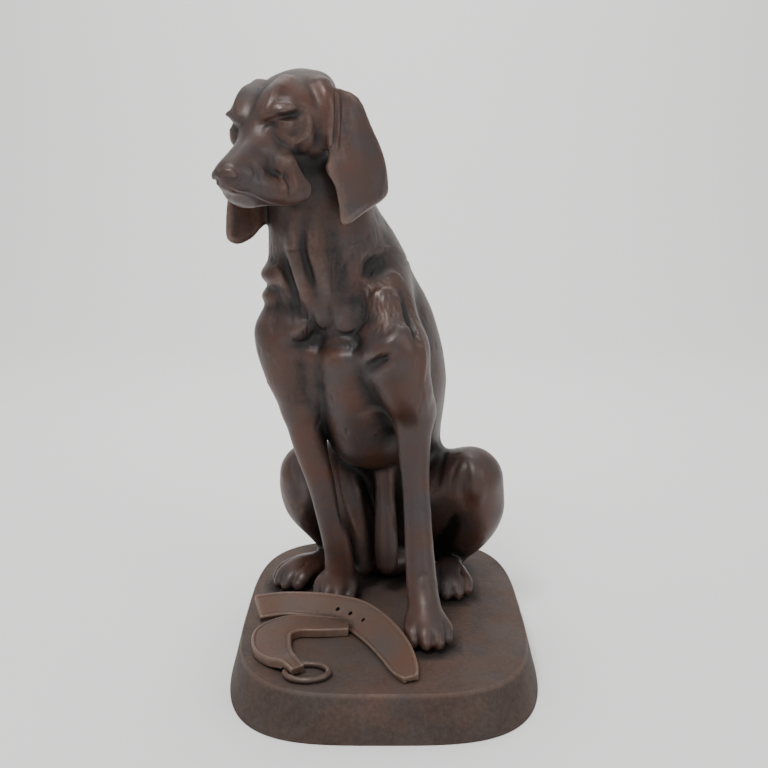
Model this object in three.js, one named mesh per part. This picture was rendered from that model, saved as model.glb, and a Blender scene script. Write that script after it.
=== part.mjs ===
// A cast iron statue of a seated long-eared hound on its plinth, its leather collar and ring laid in front.
// Millimetres, +Z up. The dog faces -Y and turns its head to its own right, -X; the origin is the middle of
// the plinth's underside. The hound and the collar are sculpted: round forms are pressed together in a distance
// field, the field's zero surface is taken as triangles, and flat stretches of it are then thinned out.
import * as THREE from "three";

// ---- driving dimensions
const PLINTH = { width: 460, depth: 640, height: 70, batter: 17, squareness: 3.54, arris: 2, steps: 60 };
const GAP = 0.3;                      // clearance between two pieces that touch
const FLOOR = PLINTH.height + GAP;    // where the dog's paws and the collar lie
const RING = { centre: [-113, -261], across: 32, along: 26, bar: 5, bend: 28, bar_steps: 8 };
const COLLAR_HOLE = 4.2;              // radius of the three buckle holes
const HOUND_GRID = 6.5;               // spacing of the dog's field
const COLLAR_GRID = 2.3;              // spacing of the collar's field
const HOUND_FACES = 7600;
const COLLAR_FACES = 1500;
const FAR = 60;                       // distance that stands for empty space

const RAD = Math.PI / 180;
const sum = (a, b) => a.map((v, i) => v + b[i]);
const less = (a, b) => a.map((v, i) => v - b[i]);
const scaled = (a, k) => a.map((v) => v * k);
const dot = (a, b) => a[0] * b[0] + a[1] * b[1] + a[2] * b[2];
const cross = (a, b) => [a[1] * b[2] - a[2] * b[1], a[2] * b[0] - a[0] * b[2], a[0] * b[1] - a[1] * b[0]];
const unit = (a) => scaled(a, 1 / Math.hypot(...a));

// A place on the dog with its own forward, left and up. Yaw turns it to the dog's right, nod lowers its
// front and tilt lowers its right side. at(f, l, u) gives a point; with a radius it gives [x, y, z, r].
function frame(origin, yaw, nod = 0, tilt = 0) {
  const [cy, sy] = [Math.cos(yaw * RAD), Math.sin(yaw * RAD)];
  const [cn, sn] = [Math.cos(nod * RAD), Math.sin(nod * RAD)];
  const forward = [-sy * cn, -cy * cn, -sn];
  const level = [cy, -sy, 0];
  const upright = cross(forward, level);
  const [ct, st] = [Math.cos(tilt * RAD), Math.sin(tilt * RAD)];
  const left = sum(scaled(level, ct), scaled(upright, st));
  const up = less(scaled(upright, ct), scaled(level, st));
  const at = (f, l, u, radius) => {
    const p = [0, 1, 2].map((i) => origin[i] + f * forward[i] + l * left[i] + u * up[i]);
    return radius === undefined ? p : [...p, radius];
  };
  return { at, axes: [forward, left, up] };
}

// ---- forms: each has its box (low, high) and dist(x, y, z), which is negative inside
function boxOf(points, margin) {
  const low = [0, 1, 2].map((i) => Math.min(...points.map((p) => p[i])) - margin);
  const high = [0, 1, 2].map((i) => Math.max(...points.map((p) => p[i])) + margin);
  return { low, high };
}

function egg(centre, radii, axes) {
  const [ax, bx, cx] = axes;
  const half = [0, 1, 2].map((i) => Math.hypot(...axes.map((a, k) => a[i] * radii[k])));
  const dist = (x, y, z) => {
    const d = [x - centre[0], y - centre[1], z - centre[2]];
    const q = [dot(d, ax) / radii[0], dot(d, bx) / radii[1], dot(d, cx) / radii[2]];
    const k = Math.hypot(...q);
    const slope = Math.hypot(q[0] / radii[0], q[1] / radii[1], q[2] / radii[2]);
    return (k * (k - 1)) / Math.max(slope, 1e-6);
  };
  return { low: less(centre, half), high: sum(centre, half), dist };
}

// A Catmull-Rom curve through points of any width.
function throughPoints(points, per, closed = false) {
  const n = points.length;
  const at = (i) => {
    if (closed) return points[(i + n) % n];
    if (i < 0) return less(scaled(points[0], 2), points[1]);
    return i < n ? points[i] : less(scaled(points[n - 1], 2), points[n - 2]);
  };
  const curve = [];
  for (let i = 0; i < (closed ? n : n - 1); i++) {
    const [a, b, c, d] = [at(i - 1), at(i), at(i + 1), at(i + 2)];
    for (let k = 0; k < per; k++) {
      const t = k / per;
      curve.push(b.map((v, j) => 0.5 * (2 * v + (c[j] - a[j]) * t + (2 * a[j] - 5 * v + 4 * c[j] - d[j]) * t * t
        + (3 * v - a[j] - 3 * c[j] + d[j]) * t ** 3)));
    }
  }
  return closed ? curve : [...curve, points[n - 1]];
}

// Where (x, y, z) lies along a run of segments: the squared distance, the segment and the share along it.
function nearest(segments, x, y, z) {
  const found = { d2: Infinity, segment: null, t: 0 };
  for (const s of segments) {
    const [px, py, pz] = [x - s.a[0], y - s.a[1], z - s.a[2]];
    const t = Math.min(1, Math.max(0, (px * s.ab[0] + py * s.ab[1] + pz * s.ab[2]) / s.length2));
    const d2 = (px - t * s.ab[0]) ** 2 + (py - t * s.ab[1]) ** 2 + (pz - t * s.ab[2]) ** 2;
    const score = Math.sqrt(d2) - (s.radius + t * s.grow);
    if (found.segment === null || score < found.score) Object.assign(found, { d2, segment: s, t, score });
  }
  return found;
}

function segmentsOf(curve, value = (p) => p[3]) {
  return curve.slice(1).map((b, i) => {
    const a = curve[i];
    const ab = less(b, a);
    const grow = value(b) - value(a);
    return { a, b, ab, length2: Math.max(dot(ab, ab), 1e-9), radius: value(a), grow, index: i };
  });
}

// A round bar that follows points [x, y, z, radius].
function limb(points, per = 4) {
  const segments = segmentsOf(points.length > 2 ? throughPoints(points, per) : points);
  const dist = (x, y, z) => nearest(segments, x, y, z).score;
  return { ...boxOf(points, Math.max(...points.map((p) => p[3])) + 2), dist };
}

// A thin blade, such as an ear: a closed outline of [across, up] points, bent about its up axis.
function blade(outline, origin, across, up, halfThickness, bend) {
  const [a, b] = [unit(across), unit(up)];
  const n = unit(cross(a, b));
  const ring = throughPoints(outline, 3, true);
  const corners = ring.map(([s, t]) => [0, 1, 2].map(
    (i) => origin[i] + s * a[i] + t * b[i] + bend * s * s * n[i],
  ));
  const dist = (x, y, z) => {
    const d = less([x, y, z], origin);
    const [s, t] = [dot(d, a), dot(d, b)];
    const w = dot(d, n) - bend * s * s;
    let [d2, inside] = [Infinity, false];
    ring.forEach((p, i) => {
      const q = ring[(i + 1) % ring.length];
      const [ex, ey, px, py] = [q[0] - p[0], q[1] - p[1], s - p[0], t - p[1]];
      const k = Math.min(1, Math.max(0, (px * ex + py * ey) / (ex * ex + ey * ey)));
      d2 = Math.min(d2, (px - k * ex) ** 2 + (py - k * ey) ** 2);
      if ((p[1] > t) !== (q[1] > t) && s < (ex * py) / ey + p[0]) inside = !inside;
    });
    const edge = (inside ? -1 : 1) * Math.sqrt(d2) + halfThickness;
    return edge > 0 ? Math.hypot(edge, w) - halfThickness : Math.abs(w) - halfThickness;
  };
  return { ...boxOf(corners, halfThickness + 6), dist };
}

// A flat strap along stations [x, y, z, half width, lean in degrees]: lean 0 lies flat, 90 stands on edge.
// Its two long borders are raised by rim, and its two ends are square.
function strap(stations, halfThickness, rim, per = 6) {
  const curve = throughPoints(stations, per);
  const last = curve.length - 1;
  const direction = curve.map((_, i) => {
    const [before, after] = [curve[Math.max(i - 1, 0)], curve[Math.min(i + 1, last)]];
    return unit(less(after, before).slice(0, 3));
  });
  const segments = segmentsOf(curve);
  const dist = (x, y, z) => {
    const { segment: s, t } = nearest(segments, x, y, z);
    const lean = (s.a[4] + t * (s.b[4] - s.a[4])) * RAD;
    const along = unit(sum(scaled(direction[s.index], 1 - t), scaled(direction[s.index + 1], t)));
    const level = unit([-along[1], along[0], 0]);
    const face = cross(along, unit(sum(scaled(level, Math.cos(lean)), [0, 0, Math.sin(lean)])));
    const d = [x - s.a[0] - t * s.ab[0], y - s.a[1] - t * s.ab[1], z - s.a[2] - t * s.ab[2]];
    const lift = Math.abs(dot(d, face));
    const isPastEnd = s.index + t === 0 || s.index + t === last;
    const beyond = isPastEnd ? Math.abs(dot(d, along)) : 0;
    const side = Math.sqrt(Math.max(dot(d, d) - lift ** 2 - beyond ** 2, 0));
    const half = s.radius + t * s.grow;
    const border = rim * Math.exp(-(((side - half + 3) / 2.2) ** 2));
    const q = [side - half + 1.5, lift - halfThickness - border + 1.5, beyond - 1];
    return Math.hypot(...q.map((v) => Math.max(v, 0))) + Math.min(Math.max(...q), 0) - 1.5;
  };
  const widest = Math.max(...stations.map((p) => p[3]));
  return { ...boxOf(stations, widest + halfThickness + rim + 2), dist };
}

function torus(centre, across, along, bar) {
  const dist = (x, y, z) => {
    const [px, py] = [x - centre[0], y - centre[1]];
    const turn = Math.atan2(py / along, px / across);
    return Math.hypot(px - across * Math.cos(turn), py - along * Math.sin(turn), z - centre[2]) - bar;
  };
  const reach = Math.max(across, along) + bar;
  return { ...boxOf([centre], reach), dist };
}

// ---- marks: weights that fade away from a curve or a spot, used to raise or sink the skin
function stroke(points, width) {
  const curve = throughPoints(points, 4);
  const last = curve.length - 1;
  const segments = segmentsOf(curve, () => 0);
  const weight = (x, y, z) => {
    const { d2, segment, t } = nearest(segments, x, y, z);
    return Math.exp(-d2 / width ** 2) * Math.sin(Math.PI * (((segment.index + t) / last) * 0.84 + 0.08));
  };
  return { ...boxOf(points, width * 2.6), weight };
}

function dab(centre, radii, axes) {
  const half = [0, 1, 2].map((i) => 2.4 * Math.hypot(...axes.map((a, k) => a[i] * radii[k])));
  const weight = (x, y, z) => {
    const d = [x - centre[0], y - centre[1], z - centre[2]];
    return Math.exp(-axes.reduce((total, a, k) => total + (dot(d, a) / radii[k]) ** 2, 0));
  };
  return { low: less(centre, half), high: sum(centre, half), weight };
}

// ---- clay: the distance field on a grid
function clay(low, high, step) {
  const count = [0, 1, 2].map((i) => Math.ceil((high[i] - low[i]) / step) + 1);
  const field = new Float32Array(count[0] * count[1] * count[2]).fill(FAR);
  const overBox = (from, to, change) => {
    const a = [0, 1, 2].map((i) => Math.max(0, Math.floor((from[i] - low[i]) / step)));
    const b = [0, 1, 2].map((i) => Math.min(count[i] - 1, Math.ceil((to[i] - low[i]) / step)));
    for (let k = a[2]; k <= b[2]; k++) {
      for (let j = a[1]; j <= b[1]; j++) {
        for (let i = a[0]; i <= b[0]; i++) {
          const index = (k * count[1] + j) * count[0] + i;
          field[index] = change(field[index], low[0] + i * step, low[1] + j * step, low[2] + k * step);
        }
      }
    }
  };
  const around = (form, margin) => [form.low.map((v) => v - margin), form.high.map((v) => v + margin)];
  const add = (form, soft) => overBox(...around(form, soft + 2 * step), (old, x, y, z) => {
    const d = form.dist(x, y, z);
    const blend = Math.max(soft - Math.abs(old - d), 0) / soft;
    return Math.min(old, d) - (blend * blend * soft) / 4;
  });
  const cut = (form, soft) => overBox(...around(form, soft + 2 * step), (old, x, y, z) => {
    const d = -form.dist(x, y, z);
    const blend = Math.max(soft - Math.abs(old - d), 0) / soft;
    return Math.max(old, d) + (blend * blend * soft) / 4;
  });
  const swell = (mark, height) => {
    overBox(mark.low, mark.high, (old, x, y, z) => old - height * mark.weight(x, y, z));
  };
  const levelBase = (z0) => overBox(low, high, (old, x, y, z) => Math.max(old, z0 - z));
  return { low, step, count, field, add, cut, swell, levelBase };
}

// The six tetrahedra of a grid cell, all round its diagonal from corner 0 to corner 7 (bit 0 is x, 1 y, 2 z).
const TETRAHEDRA = [[1, 3], [3, 2], [2, 6], [6, 4], [4, 5], [5, 1]].map(([a, b]) => [0, a, b, 7]);

// The field's zero surface as points and triangles. Every tetrahedron is cut by one or two triangles, so the
// surface is closed and no edge has more than two faces.
function skinOf({ low, step, count, field }) {
  const [nx, ny, nz] = count;
  const offset = (corner) => (corner & 1) + nx * ((corner >> 1) & 1) + nx * ny * ((corner >> 2) & 1);
  const value = (index) => (Math.abs(field[index]) < 0.02 * step ? -0.02 * step : field[index]);
  const points = [];
  const faces = [];
  const onEdge = new Map();
  const place = (index) => [index % nx, Math.floor(index / nx) % ny, Math.floor(index / (nx * ny))];
  const crossing = (inner, outer) => {
    const key = inner < outer ? inner * nx * ny * nz + outer : outer * nx * ny * nz + inner;
    if (!onEdge.has(key)) {
      const [a, b] = [place(inner), place(outer)];
      const t = value(inner) / (value(inner) - value(outer));
      onEdge.set(key, points.length);
      points.push(a.map((v, i) => low[i] + step * (v + t * (b[i] - v))));
    }
    return onEdge.get(key);
  };
  const addFace = (a, b, c, out) => {
    const normal = cross(less(points[b], points[a]), less(points[c], points[a]));
    faces.push(dot(normal, out) >= 0 ? [a, b, c] : [a, c, b]);
  };
  const middle = (corners) => scaled(corners.map(place).reduce(sum), 1 / corners.length);
  for (let k = 0; k < nz - 1; k++) {
    for (let j = 0; j < ny - 1; j++) {
      for (let i = 0; i < nx - 1; i++) {
        const base = (k * ny + j) * nx + i;
        const corners = [0, 1, 2, 3, 4, 5, 6, 7].map((c) => base + offset(c));
        const filled = corners.filter((c) => value(c) < 0).length;
        if (filled === 0 || filled === 8) continue;
        for (const tetrahedron of TETRAHEDRA) {
          const inner = tetrahedron.map((c) => corners[c]).filter((c) => value(c) < 0);
          const outer = tetrahedron.map((c) => corners[c]).filter((c) => value(c) >= 0);
          if (inner.length === 0 || outer.length === 0) continue;
          const out = less(middle(outer), middle(inner));
          if (inner.length === 2) {
            const [a, b, c, d] = [[0, 0], [0, 1], [1, 1], [1, 0]].map(([p, q]) => crossing(inner[p], outer[q]));
            addFace(a, b, c, out);
            addFace(a, c, d, out);
          } else {
            const pairs = inner.flatMap((p) => outer.map((q) => crossing(p, q)));
            addFace(...pairs, out);
          }
        }
      }
    }
  }
  return { points, faces };
}

// ---- thinning: the cheapest edge is drawn together to one point, again and again, until few faces are left
const cornersOf = (face, points) => face.map((v) => points[v]);

function areaVector([a, b, c]) {
  return cross(less(b, a), less(c, a));
}

// A triangle's area against its longest side squared: near 0 for a sliver.
function plumpness(corners) {
  const sides = corners.map((c, i) => less(c, corners[(i + 1) % 3]));
  const longest2 = Math.max(...sides.map((side) => dot(side, side)));
  return Math.hypot(...areaVector(corners)) / Math.max(longest2, 1e-12);
}

// The faces of the biggest body alone: crumbs that a cut leaves are dropped.
function biggestBody({ points, faces }) {
  const parent = points.map((_, i) => i);
  const rootOf = (v) => {
    while (parent[v] !== v) {
      parent[v] = parent[parent[v]];
      v = parent[v];
    }
    return v;
  };
  for (const [a, b, c] of faces) {
    parent[rootOf(a)] = rootOf(b);
    parent[rootOf(b)] = rootOf(c);
  }
  const sizes = new Map();
  faces.forEach((f) => sizes.set(rootOf(f[0]), (sizes.get(rootOf(f[0])) ?? 0) + 1));
  const [biggest] = [...sizes].reduce((s, t) => (t[1] > s[1] ? t : s));
  return { points, faces: faces.filter((f) => rootOf(f[0]) === biggest) };
}

// A binary heap of entries that each have a cost.
function cheapestFirst() {
  const heap = [];
  const swap = (i, j) => {
    [heap[i], heap[j]] = [heap[j], heap[i]];
  };
  const push = (entry) => {
    let i = heap.push(entry) - 1;
    while (i > 0 && heap[(i - 1) >> 1].cost > heap[i].cost) {
      swap(i, (i - 1) >> 1);
      i = (i - 1) >> 1;
    }
  };
  const pop = () => {
    const top = heap[0];
    const last = heap.pop();
    if (heap.length === 0) return top;
    heap[0] = last;
    for (let i = 0; ;) {
      const child = [2 * i + 1, 2 * i + 2].filter((c) => c < heap.length && heap[c].cost < heap[i].cost);
      if (child.length === 0) return top;
      const next = child.length === 2 && heap[child[1]].cost < heap[child[0]].cost ? child[1] : child[0];
      swap(i, next);
      i = next;
    }
  };
  return { push, pop, isEmpty: () => heap.length === 0 };
}

// The summed squared distance from a point to a set of planes is kept as ten numbers.
function planeSum(normal, offset, weight) {
  const [a, b, c] = normal;
  return [a * a, a * b, a * c, b * b, b * c, c * c, a * offset, b * offset, c * offset, offset * offset]
    .map((v) => v * weight);
}

function errorAt(q, [x, y, z]) {
  return q[0] * x * x + q[3] * y * y + q[5] * z * z + 2 * (q[1] * x * y + q[2] * x * z + q[4] * y * z)
    + 2 * (q[6] * x + q[7] * y + q[8] * z) + q[9];
}

// The point with the least error, or null where the planes don't settle one.
function bestPoint(q, near, reach) {
  const rows = [[q[0], q[1], q[2]], [q[1], q[3], q[4]], [q[2], q[4], q[5]]];
  const cofactors = [cross(rows[1], rows[2]), cross(rows[2], rows[0]), cross(rows[0], rows[1])];
  const determinant = dot(rows[0], cofactors[0]);
  if (determinant < 1e-3 * (q[0] + q[3] + q[5]) ** 3) return null;
  const p = [0, 1, 2].map((i) => -(q[6] * cofactors[0][i] + q[7] * cofactors[1][i] + q[8] * cofactors[2][i])
    / determinant);
  return Math.hypot(...less(p, near)) < reach ? p : null;
}

function thinned({ points, faces }, wanted, importance) {
  const place = points.map((p) => [...p]);
  const live = faces.map((f) => [...f]);
  const around = points.map(() => new Set());
  live.forEach((face, i) => face.forEach((v) => around[v].add(i)));
  const planes = points.map(() => new Array(10).fill(0));
  for (const face of live) {
    const corners = cornersOf(face, place);
    const vector = areaVector(corners);
    const size = Math.hypot(...vector);
    if (size < 1e-9) continue;
    const normal = scaled(vector, 1 / size);
    const share = planeSum(normal, -dot(normal, corners[0]), size * importance(corners[0]));
    face.forEach((v) => share.forEach((value, i) => (planes[v][i] += value)));
  }
  const stamp = new Int32Array(points.length);
  const queue = cheapestFirst();
  const offer = (a, b) => {
    const q = planes[a].map((v, i) => v + planes[b][i]);
    const [pa, pb] = [place[a], place[b]];
    const middle = scaled(sum(pa, pb), 0.5);
    const length2 = dot(less(pa, pb), less(pa, pb));
    const options = [bestPoint(q, middle, Math.sqrt(length2)), middle, pa, pb].filter((p) => p !== null);
    options.forEach((p) => (p[2] = Math.max(p[2], FLOOR)));
    const [error, target] = options.map((p) => [errorAt(q, p), p]).reduce((s, t) => (t[0] < s[0] ? t : s));
    queue.push({ cost: error + 0.02 * length2 * importance(middle), a, b, target, stamp: stamp[a] + stamp[b] });
  };
  const neighbours = (v) => {
    const near = new Set([...around[v]].flatMap((f) => live[f]));
    near.delete(v);
    return near;
  };
  // A face may turn only a little and may not shrink to a sliver when its corner moves to target.
  const staysSound = (v, other, target) => [...around[v]].every((f) => {
    if (live[f].includes(other)) return true;
    const corners = cornersOf(live[f], place);
    const moved = live[f].map((w) => (w === v ? target : place[w]));
    const [before, after] = [areaVector(corners), areaVector(moved)];
    const [old, now] = [plumpness(corners), plumpness(moved)];
    if (now < Math.min(0.1, 0.5 * old)) return false;
    return old < 0.01 || dot(before, after) > 0.3 * Math.hypot(...before) * Math.hypot(...after);
  });
  place.forEach((_, v) => neighbours(v).forEach((w) => v < w && offer(v, w)));
  let left = live.length;
  while (left > wanted && !queue.isEmpty()) {
    const { a, b, target, stamp: seen } = queue.pop();
    if (around[a].size === 0 || around[b].size === 0 || stamp[a] + stamp[b] !== seen) continue;
    const [nearA, nearB] = [neighbours(a), neighbours(b)];
    if (!nearA.has(b) || [...nearA].filter((v) => nearB.has(v)).length !== 2) continue;
    if (!staysSound(a, b, target) || !staysSound(b, a, target)) continue;
    for (const f of [...around[b]]) {
      if (live[f].includes(a)) {
        live[f].forEach((v) => around[v].delete(f));
        live[f] = null;
        left -= 1;
      } else {
        live[f] = live[f].map((v) => (v === b ? a : v));
        around[a].add(f);
      }
    }
    around[b].clear();
    place[a] = target;
    planes[a] = planes[a].map((v, i) => v + planes[b][i]);
    stamp[a] += stamp[b] + 1;
    neighbours(a).forEach((v) => offer(a, v));
  }
  const kept = new Map();
  const result = { points: [], faces: [] };
  const keep = (v) => {
    if (!kept.has(v)) kept.set(v, result.points.push(place[v]) - 1);
    return kept.get(v);
  };
  live.filter((f) => f !== null).forEach((f) => result.faces.push(f.map(keep)));
  return result;
}

// ---- the hound
// Folds: [points along the line, width, height], where a negative height sinks a furrow. Those of the face are
// [forward, left, up] from the head's middle and are made on both sides.
const FACE_FOLDS = [
  [[[76, 42, 38], [63, 56, 31], [44, 64, 19]], 6, 6],                                   // upper lid
  [[[80, 44, 24], [62, 56, 17], [46, 64, 12]], 6, -9],                                  // under the lid
  [[[42, 68, 4], [46, 66, -10], [58, 57, -19], [72, 46, -18], [80, 40, 0]], 5, 4],      // pouch round the eye
  [[[88, 36, 22], [90, 36, 2], [84, 42, -16]], 5, -3],                                  // inner corner
  [[[22, 29, 55], [42, 31, 52], [60, 31, 46], [78, 24, 34]], 5, 4],                     // ridge of the forehead
  [[[32, 40, 49], [58, 43, 40]], 9, -3],
  [[[36, 68, -10], [42, 63, -42], [76, 52, -50]], 7, -5],                               // cheek
  [[[112, 45, -36], [122, 48, -56], [133, 46, -74]], 5, 3],                             // hanging lip
  [[[106, 48, -40], [116, 49, -62], [127, 46, -82]], 5, -5],
  [[[100, 51, -46], [108, 50, -68], [116, 46, -90]], 6, 4],
  [[[90, 50, -50], [97, 48, -72]], 6, -5],
  [[[176, 22, 6], [173, 26, -14], [168, 27, -26]], 4.5, -3],                            // behind the nose
  [[[150, 26, 2], [147, 31, -14], [150, 33, -30]], 5, -3],
  [[[124, 26, 6], [118, 35, -14], [118, 40, -30]], 6, -2.5],
];
const FACE_MIDLINE = [
  [[[10, 0, 52], [50, 0, 48], [80, 0, 30]], 9, -5],                                     // brow
  [[[178, 0, 8], [194, 0, -8], [184, 0, -26]], 4, -3],                                  // nose
];
// Those of the throat and chest are [forward, left, height] from the middle of the body.
const CHEST_FOLDS = [
  [[[322, -52, 730], [312, -61, 678], [306, -54, 642], [294, -43, 594]], 12, 12],       // two cords of the throat
  [[[317, -23, 727], [311, -26, 679], [303, -19, 645], [290, -13, 598]], 11, 12],
  [[[316, -38, 725], [311, -43, 678], [304, -37, 643], [292, -28, 594]], 8, -8],
  [[[310, 4, 720], [302, 6, 680], [292, 12, 640], [284, 10, 606]], 14, -10],
  [[[306, -82, 668], [302, -73, 632], [292, -66, 592]], 9, -13],                        // beside the loose skin
  [[[300, -96, 656], [300, -86, 632], [296, -76, 608]], 8, 5],
  [[[248, 60, 674], [262, 36, 664], [268, 24, 640]], 7, 4],                             // over the shoulder's pit
  [[[232, 88, 640], [240, 96, 600], [262, 112, 560], [270, 128, 520]], 10, -9],         // behind the shoulder
  [[[283, 110, 560], [300, 88, 540], [292, 52, 514]], 9, 8],                            // edge of the upper arm
  [[[285, 104, 536], [298, 80, 516], [288, 44, 492]], 11, -12],
];
// Swellings and pits: [middle, reach forward, left and up, height].
const CHEST_MUSCLES = [
  [[280, -110, 634], [36, 30, 15], 26],
  [[262, -124, 599], [26, 24, 11], 13],
  [[276, -30, 574], [24, 15, 20], 10],
  [[272, 4, 572], [24, 20, 20], 10],
  [[268, 0, 530], [26, 46, 14], -13],
  [[292, -60, 556], [16, 20, 18], 5],
  [[290, -50, 524], [16, 30, 10], -6],
  [[286, -104, 548], [16, 14, 22], -5],
  [[248, 50, 652], [26, 19, 15], -15],
  [[262, 66, 600], [24, 20, 24], 10],
];
// Those of the ears and haunches are plain [x, y, z].
const OUTER_FOLDS = [
  [[[-75, -134, 902], [-77, -137, 860], [-78, -138, 814]], 4.5, 4],                     // double front of the ear
  [[[-66, -129, 904], [-66, -130, 866], [-66, -130, 828]], 4.5, 4],
  [[[123, 51, 208], [116, 84, 165], [104, 128, 116]], 10, -10],                         // between thigh and shank
  [[[-128, 86, 214], [-118, 112, 168], [-104, 150, 120]], 10, -8],
  [[[176, 58, 296], [184, 62, 262], [190, 74, 222]], 12, -5],
  [[[138, 34, 300], [134, 26, 262], [142, 24, 222]], 12, -5],
  [[[158, 44, 310], [168, 34, 280], [166, 30, 246]], 11, 4],
  [[[-142, 88, 300], [-150, 84, 262], [-146, 90, 220]], 11, -5],
];

const body = frame([25, 200, 0], 20);
const head = frame([-146, -86, 882], 28, 28, 5);
// Ear outlines [across, up]: down the front edge from the root and back up the rear edge.
const EAR = [[45, 2], [47, -50], [49, -93], [53, -111], [40, -134], [34, -162], [27, -192], [-10, -173],
  [-56, -152], [-61, -132], [-55, -104], [-40, -76], [-20, -46], [3, -8]];
const FAR_EAR = [[15, 4], [28, -60], [42, -100], [50, -128], [53, -160], [52, -184], [34, -193], [10, -186],
  [-6, -172], [-26, -154], [-44, -115], [-36, -70], [-14, -20]];
// paw: middle, and the way it points
const PAWS = [[[67, -146, 92], -10], [[-80, 34, 92], 12], [[114, 56, 90], -4], [[-150, 94, 90], 44]];
const TOES = [[-25, 14], [-9, 27], [9, 27], [25, 14]];

function sculptTrunk({ add }) {
  const { at: b, axes } = body;
  const ribs = frame(b(112, 10, 470), 20, 22);
  add(egg(b(112, 10, 470), [118, 104, 166], ribs.axes), 10);
  add(limb([b(15, 4, 205, 84), b(60, 10, 320, 86), b(98, 10, 420, 90)]), 40);
  add(egg(b(-12, 0, 158), [82, 94, 96], axes), 40);
  add(limb([b(226, 2, 505, 62), b(205, 2, 440, 62), b(174, 1, 366, 60)]), 50);
  add(limb([[-126, -52, 852, 60], [-112, -30, 785, 68], [-98, -4, 710, 84], [-88, 22, 636, 98]]), 40);
  add(limb([[-92, 0, 818, 46], [-68, 36, 730, 45], [-35, 73, 652, 64], b(120, -2, 560, 78)]), 40);
}

function sculptForelegs({ add }) {
  const { at: b } = body;
  add(limb([b(165, 28, 635, 36), b(215, 56, 588, 44), b(255, 84, 522, 46)]), 36);
  add(limb([b(150, -52, 646, 38), b(200, -83, 600, 46), b(248, -102, 536, 46)]), 36);
  add(limb([b(255, 86, 520, 46), [34, -60, 460, 42], [47, -36, 415, 35]]), 30);
  add(limb([b(248, -102, 536, 46), [-155, 2, 486, 43], [-136, 16, 410, 32]]), 30);
  add(limb([[47, -36, 420, 34], [48, -45, 357, 26.5], [51, -60, 301, 22], [54, -75, 247, 22], [57, -92, 192, 23],
    [61, -112, 140, 25], [66, -135, 106, 27]]), 12);
  add(limb([[-136, 16, 408, 32], [-123, 15, 345, 27], [-105, 13, 280, 22.5],
    [-93, 12, 222, 20], [-82, 17, 182, 23], [-76, 22, 145, 24], [-76, 26, 106, 27]]), 12);
}

function sculptHaunches({ add }) {
  const { at: b, axes } = body;
  add(limb([b(0, 52, 190, 76), [112, 110, 242, 66], [147, 82, 270, 52]]), 30);
  add(limb([b(0, -52, 190, 76), [-92, 168, 238, 64], [-124, 142, 258, 56]]), 30);
  add(limb([[152, 84, 262, 51], [160, 98, 214, 51], [148, 122, 166, 44], [124, 172, 104, 28]]), 24);
  add(limb([[-127, 142, 256, 54], [-129, 146, 214, 52], [-106, 160, 160, 38], [-84, 186, 104, 26]]), 24);
  add(limb([[122, 180, 98, 24], [118, 120, 94, 22], [114, 72, 94, 24]]), 14);
  add(limb([[-86, 196, 98, 24], [-112, 142, 94, 22], [-140, 104, 92, 24]]), 14);
  add(limb([[-80, 105, 300, 34], [-62, 92, 230, 38], [-46, 80, 165, 32], [-40, 74, 120, 24]]), 16);
  add(limb([[2, 70, 330, 24], [2, 58, 260, 17], [3, 50, 200, 19], [4, 46, 158, 20], [5, 46, 128, 19]]), 8);
  add(egg(b(45, 0, 100), [60, 60, 34], axes), 20);
  const tail = [b(-80, 0, 140, 22), [52, 292, 96, 19], [-10, 303, 88, 15], [-70, 290, 84, 11]];
  add(limb([...tail, [-112, 262, 82, 8]]), 14);
}

function sculptPaws({ add }) {
  for (const [middle, yaw] of PAWS) {
    const { at: p, axes } = frame(middle, yaw);
    add(egg(p(-6, 0, 2), [46, 33, 26], axes), 16);
    for (const [side, front] of TOES) {
      const knuckle = p(front - 2, side, 4, 13.5);
      const toe = [p(front - 30, side * 0.75, 10, 13), knuckle, p(front + 12, side * 1.04, -7, 10.5)];
      add(limb(toe), 4);
    }
  }
}

function sculptHead({ add, swell }) {
  const { at: h, axes } = head;
  add(egg(h(-8, 6, -1), [78, 68, 52], axes), 20);
  add(egg(h(40, 0, 10), [42, 56, 40], axes), 26);
  add(limb([h(52, 0, -14, 43), h(100, 0, -21, 35), h(138, 0, -19, 29), h(165, 0, -15, 24)]), 22);
  for (const s of [1, -1]) {
    const brow = s > 0 ? 26 : -20;
    add(limb([h(8, 24 * s, 42, 15), h(42, 28 * s, 38, 15.5), h(70, brow, 24, 11)]), 10);
    add(egg(h(60, s > 0 ? 36 : -27, 28), [20, 20, 13], axes), 12);
    add(egg(h(6, 46 * s, -26), [46, 30, 42], axes), 24);
    const lip = [h(159, 13 * s, -30, 15), h(142, 23 * s, -50, 19), h(114, 33 * s, -74, 19)];
    add(limb([...lip, h(86, 38 * s, -88, 16)]), 14);
    add(limb([h(94, 34 * s, -40, 20), h(88, 38 * s, -80, 16)]), 14);
  }
  add(limb([h(20, 0, -58, 36), h(90, 0, -70, 27), h(144, 0, -58, 17)]), 22);
  add(egg(h(177, 0, -9), [14, 22, 14], axes), 6);
  add(egg(h(-28, 44, 14), [28, 27, 24], axes), 14);
  for (const s of [1, -1]) {
    swell(dab(h(76, 40 * s, 14), [20, 18, 9], axes), -3);
    add(egg(h(62, 38 * s, 10), [15, 18, 15], axes), 5);
  }
  add(blade(EAR, [-36, -103, 908], [-0.8, -0.6, 0], [0, 0, 1], 5.5, 0.0035), 9);
  add(blade(FAR_EAR, [-200, -24, 876], [-0.8, -0.6, 0], [0, 0, 1], 5.5, -0.001), 9);
  add(limb([h(-14, 66, 22, 16), h(0, 77, 12, 12), h(14, 78, -12, 10), h(24, 74, -44, 8)]), 10);
  add(egg(h(66, -43, -4), [17, 14, 16], axes), 8);
}

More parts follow.
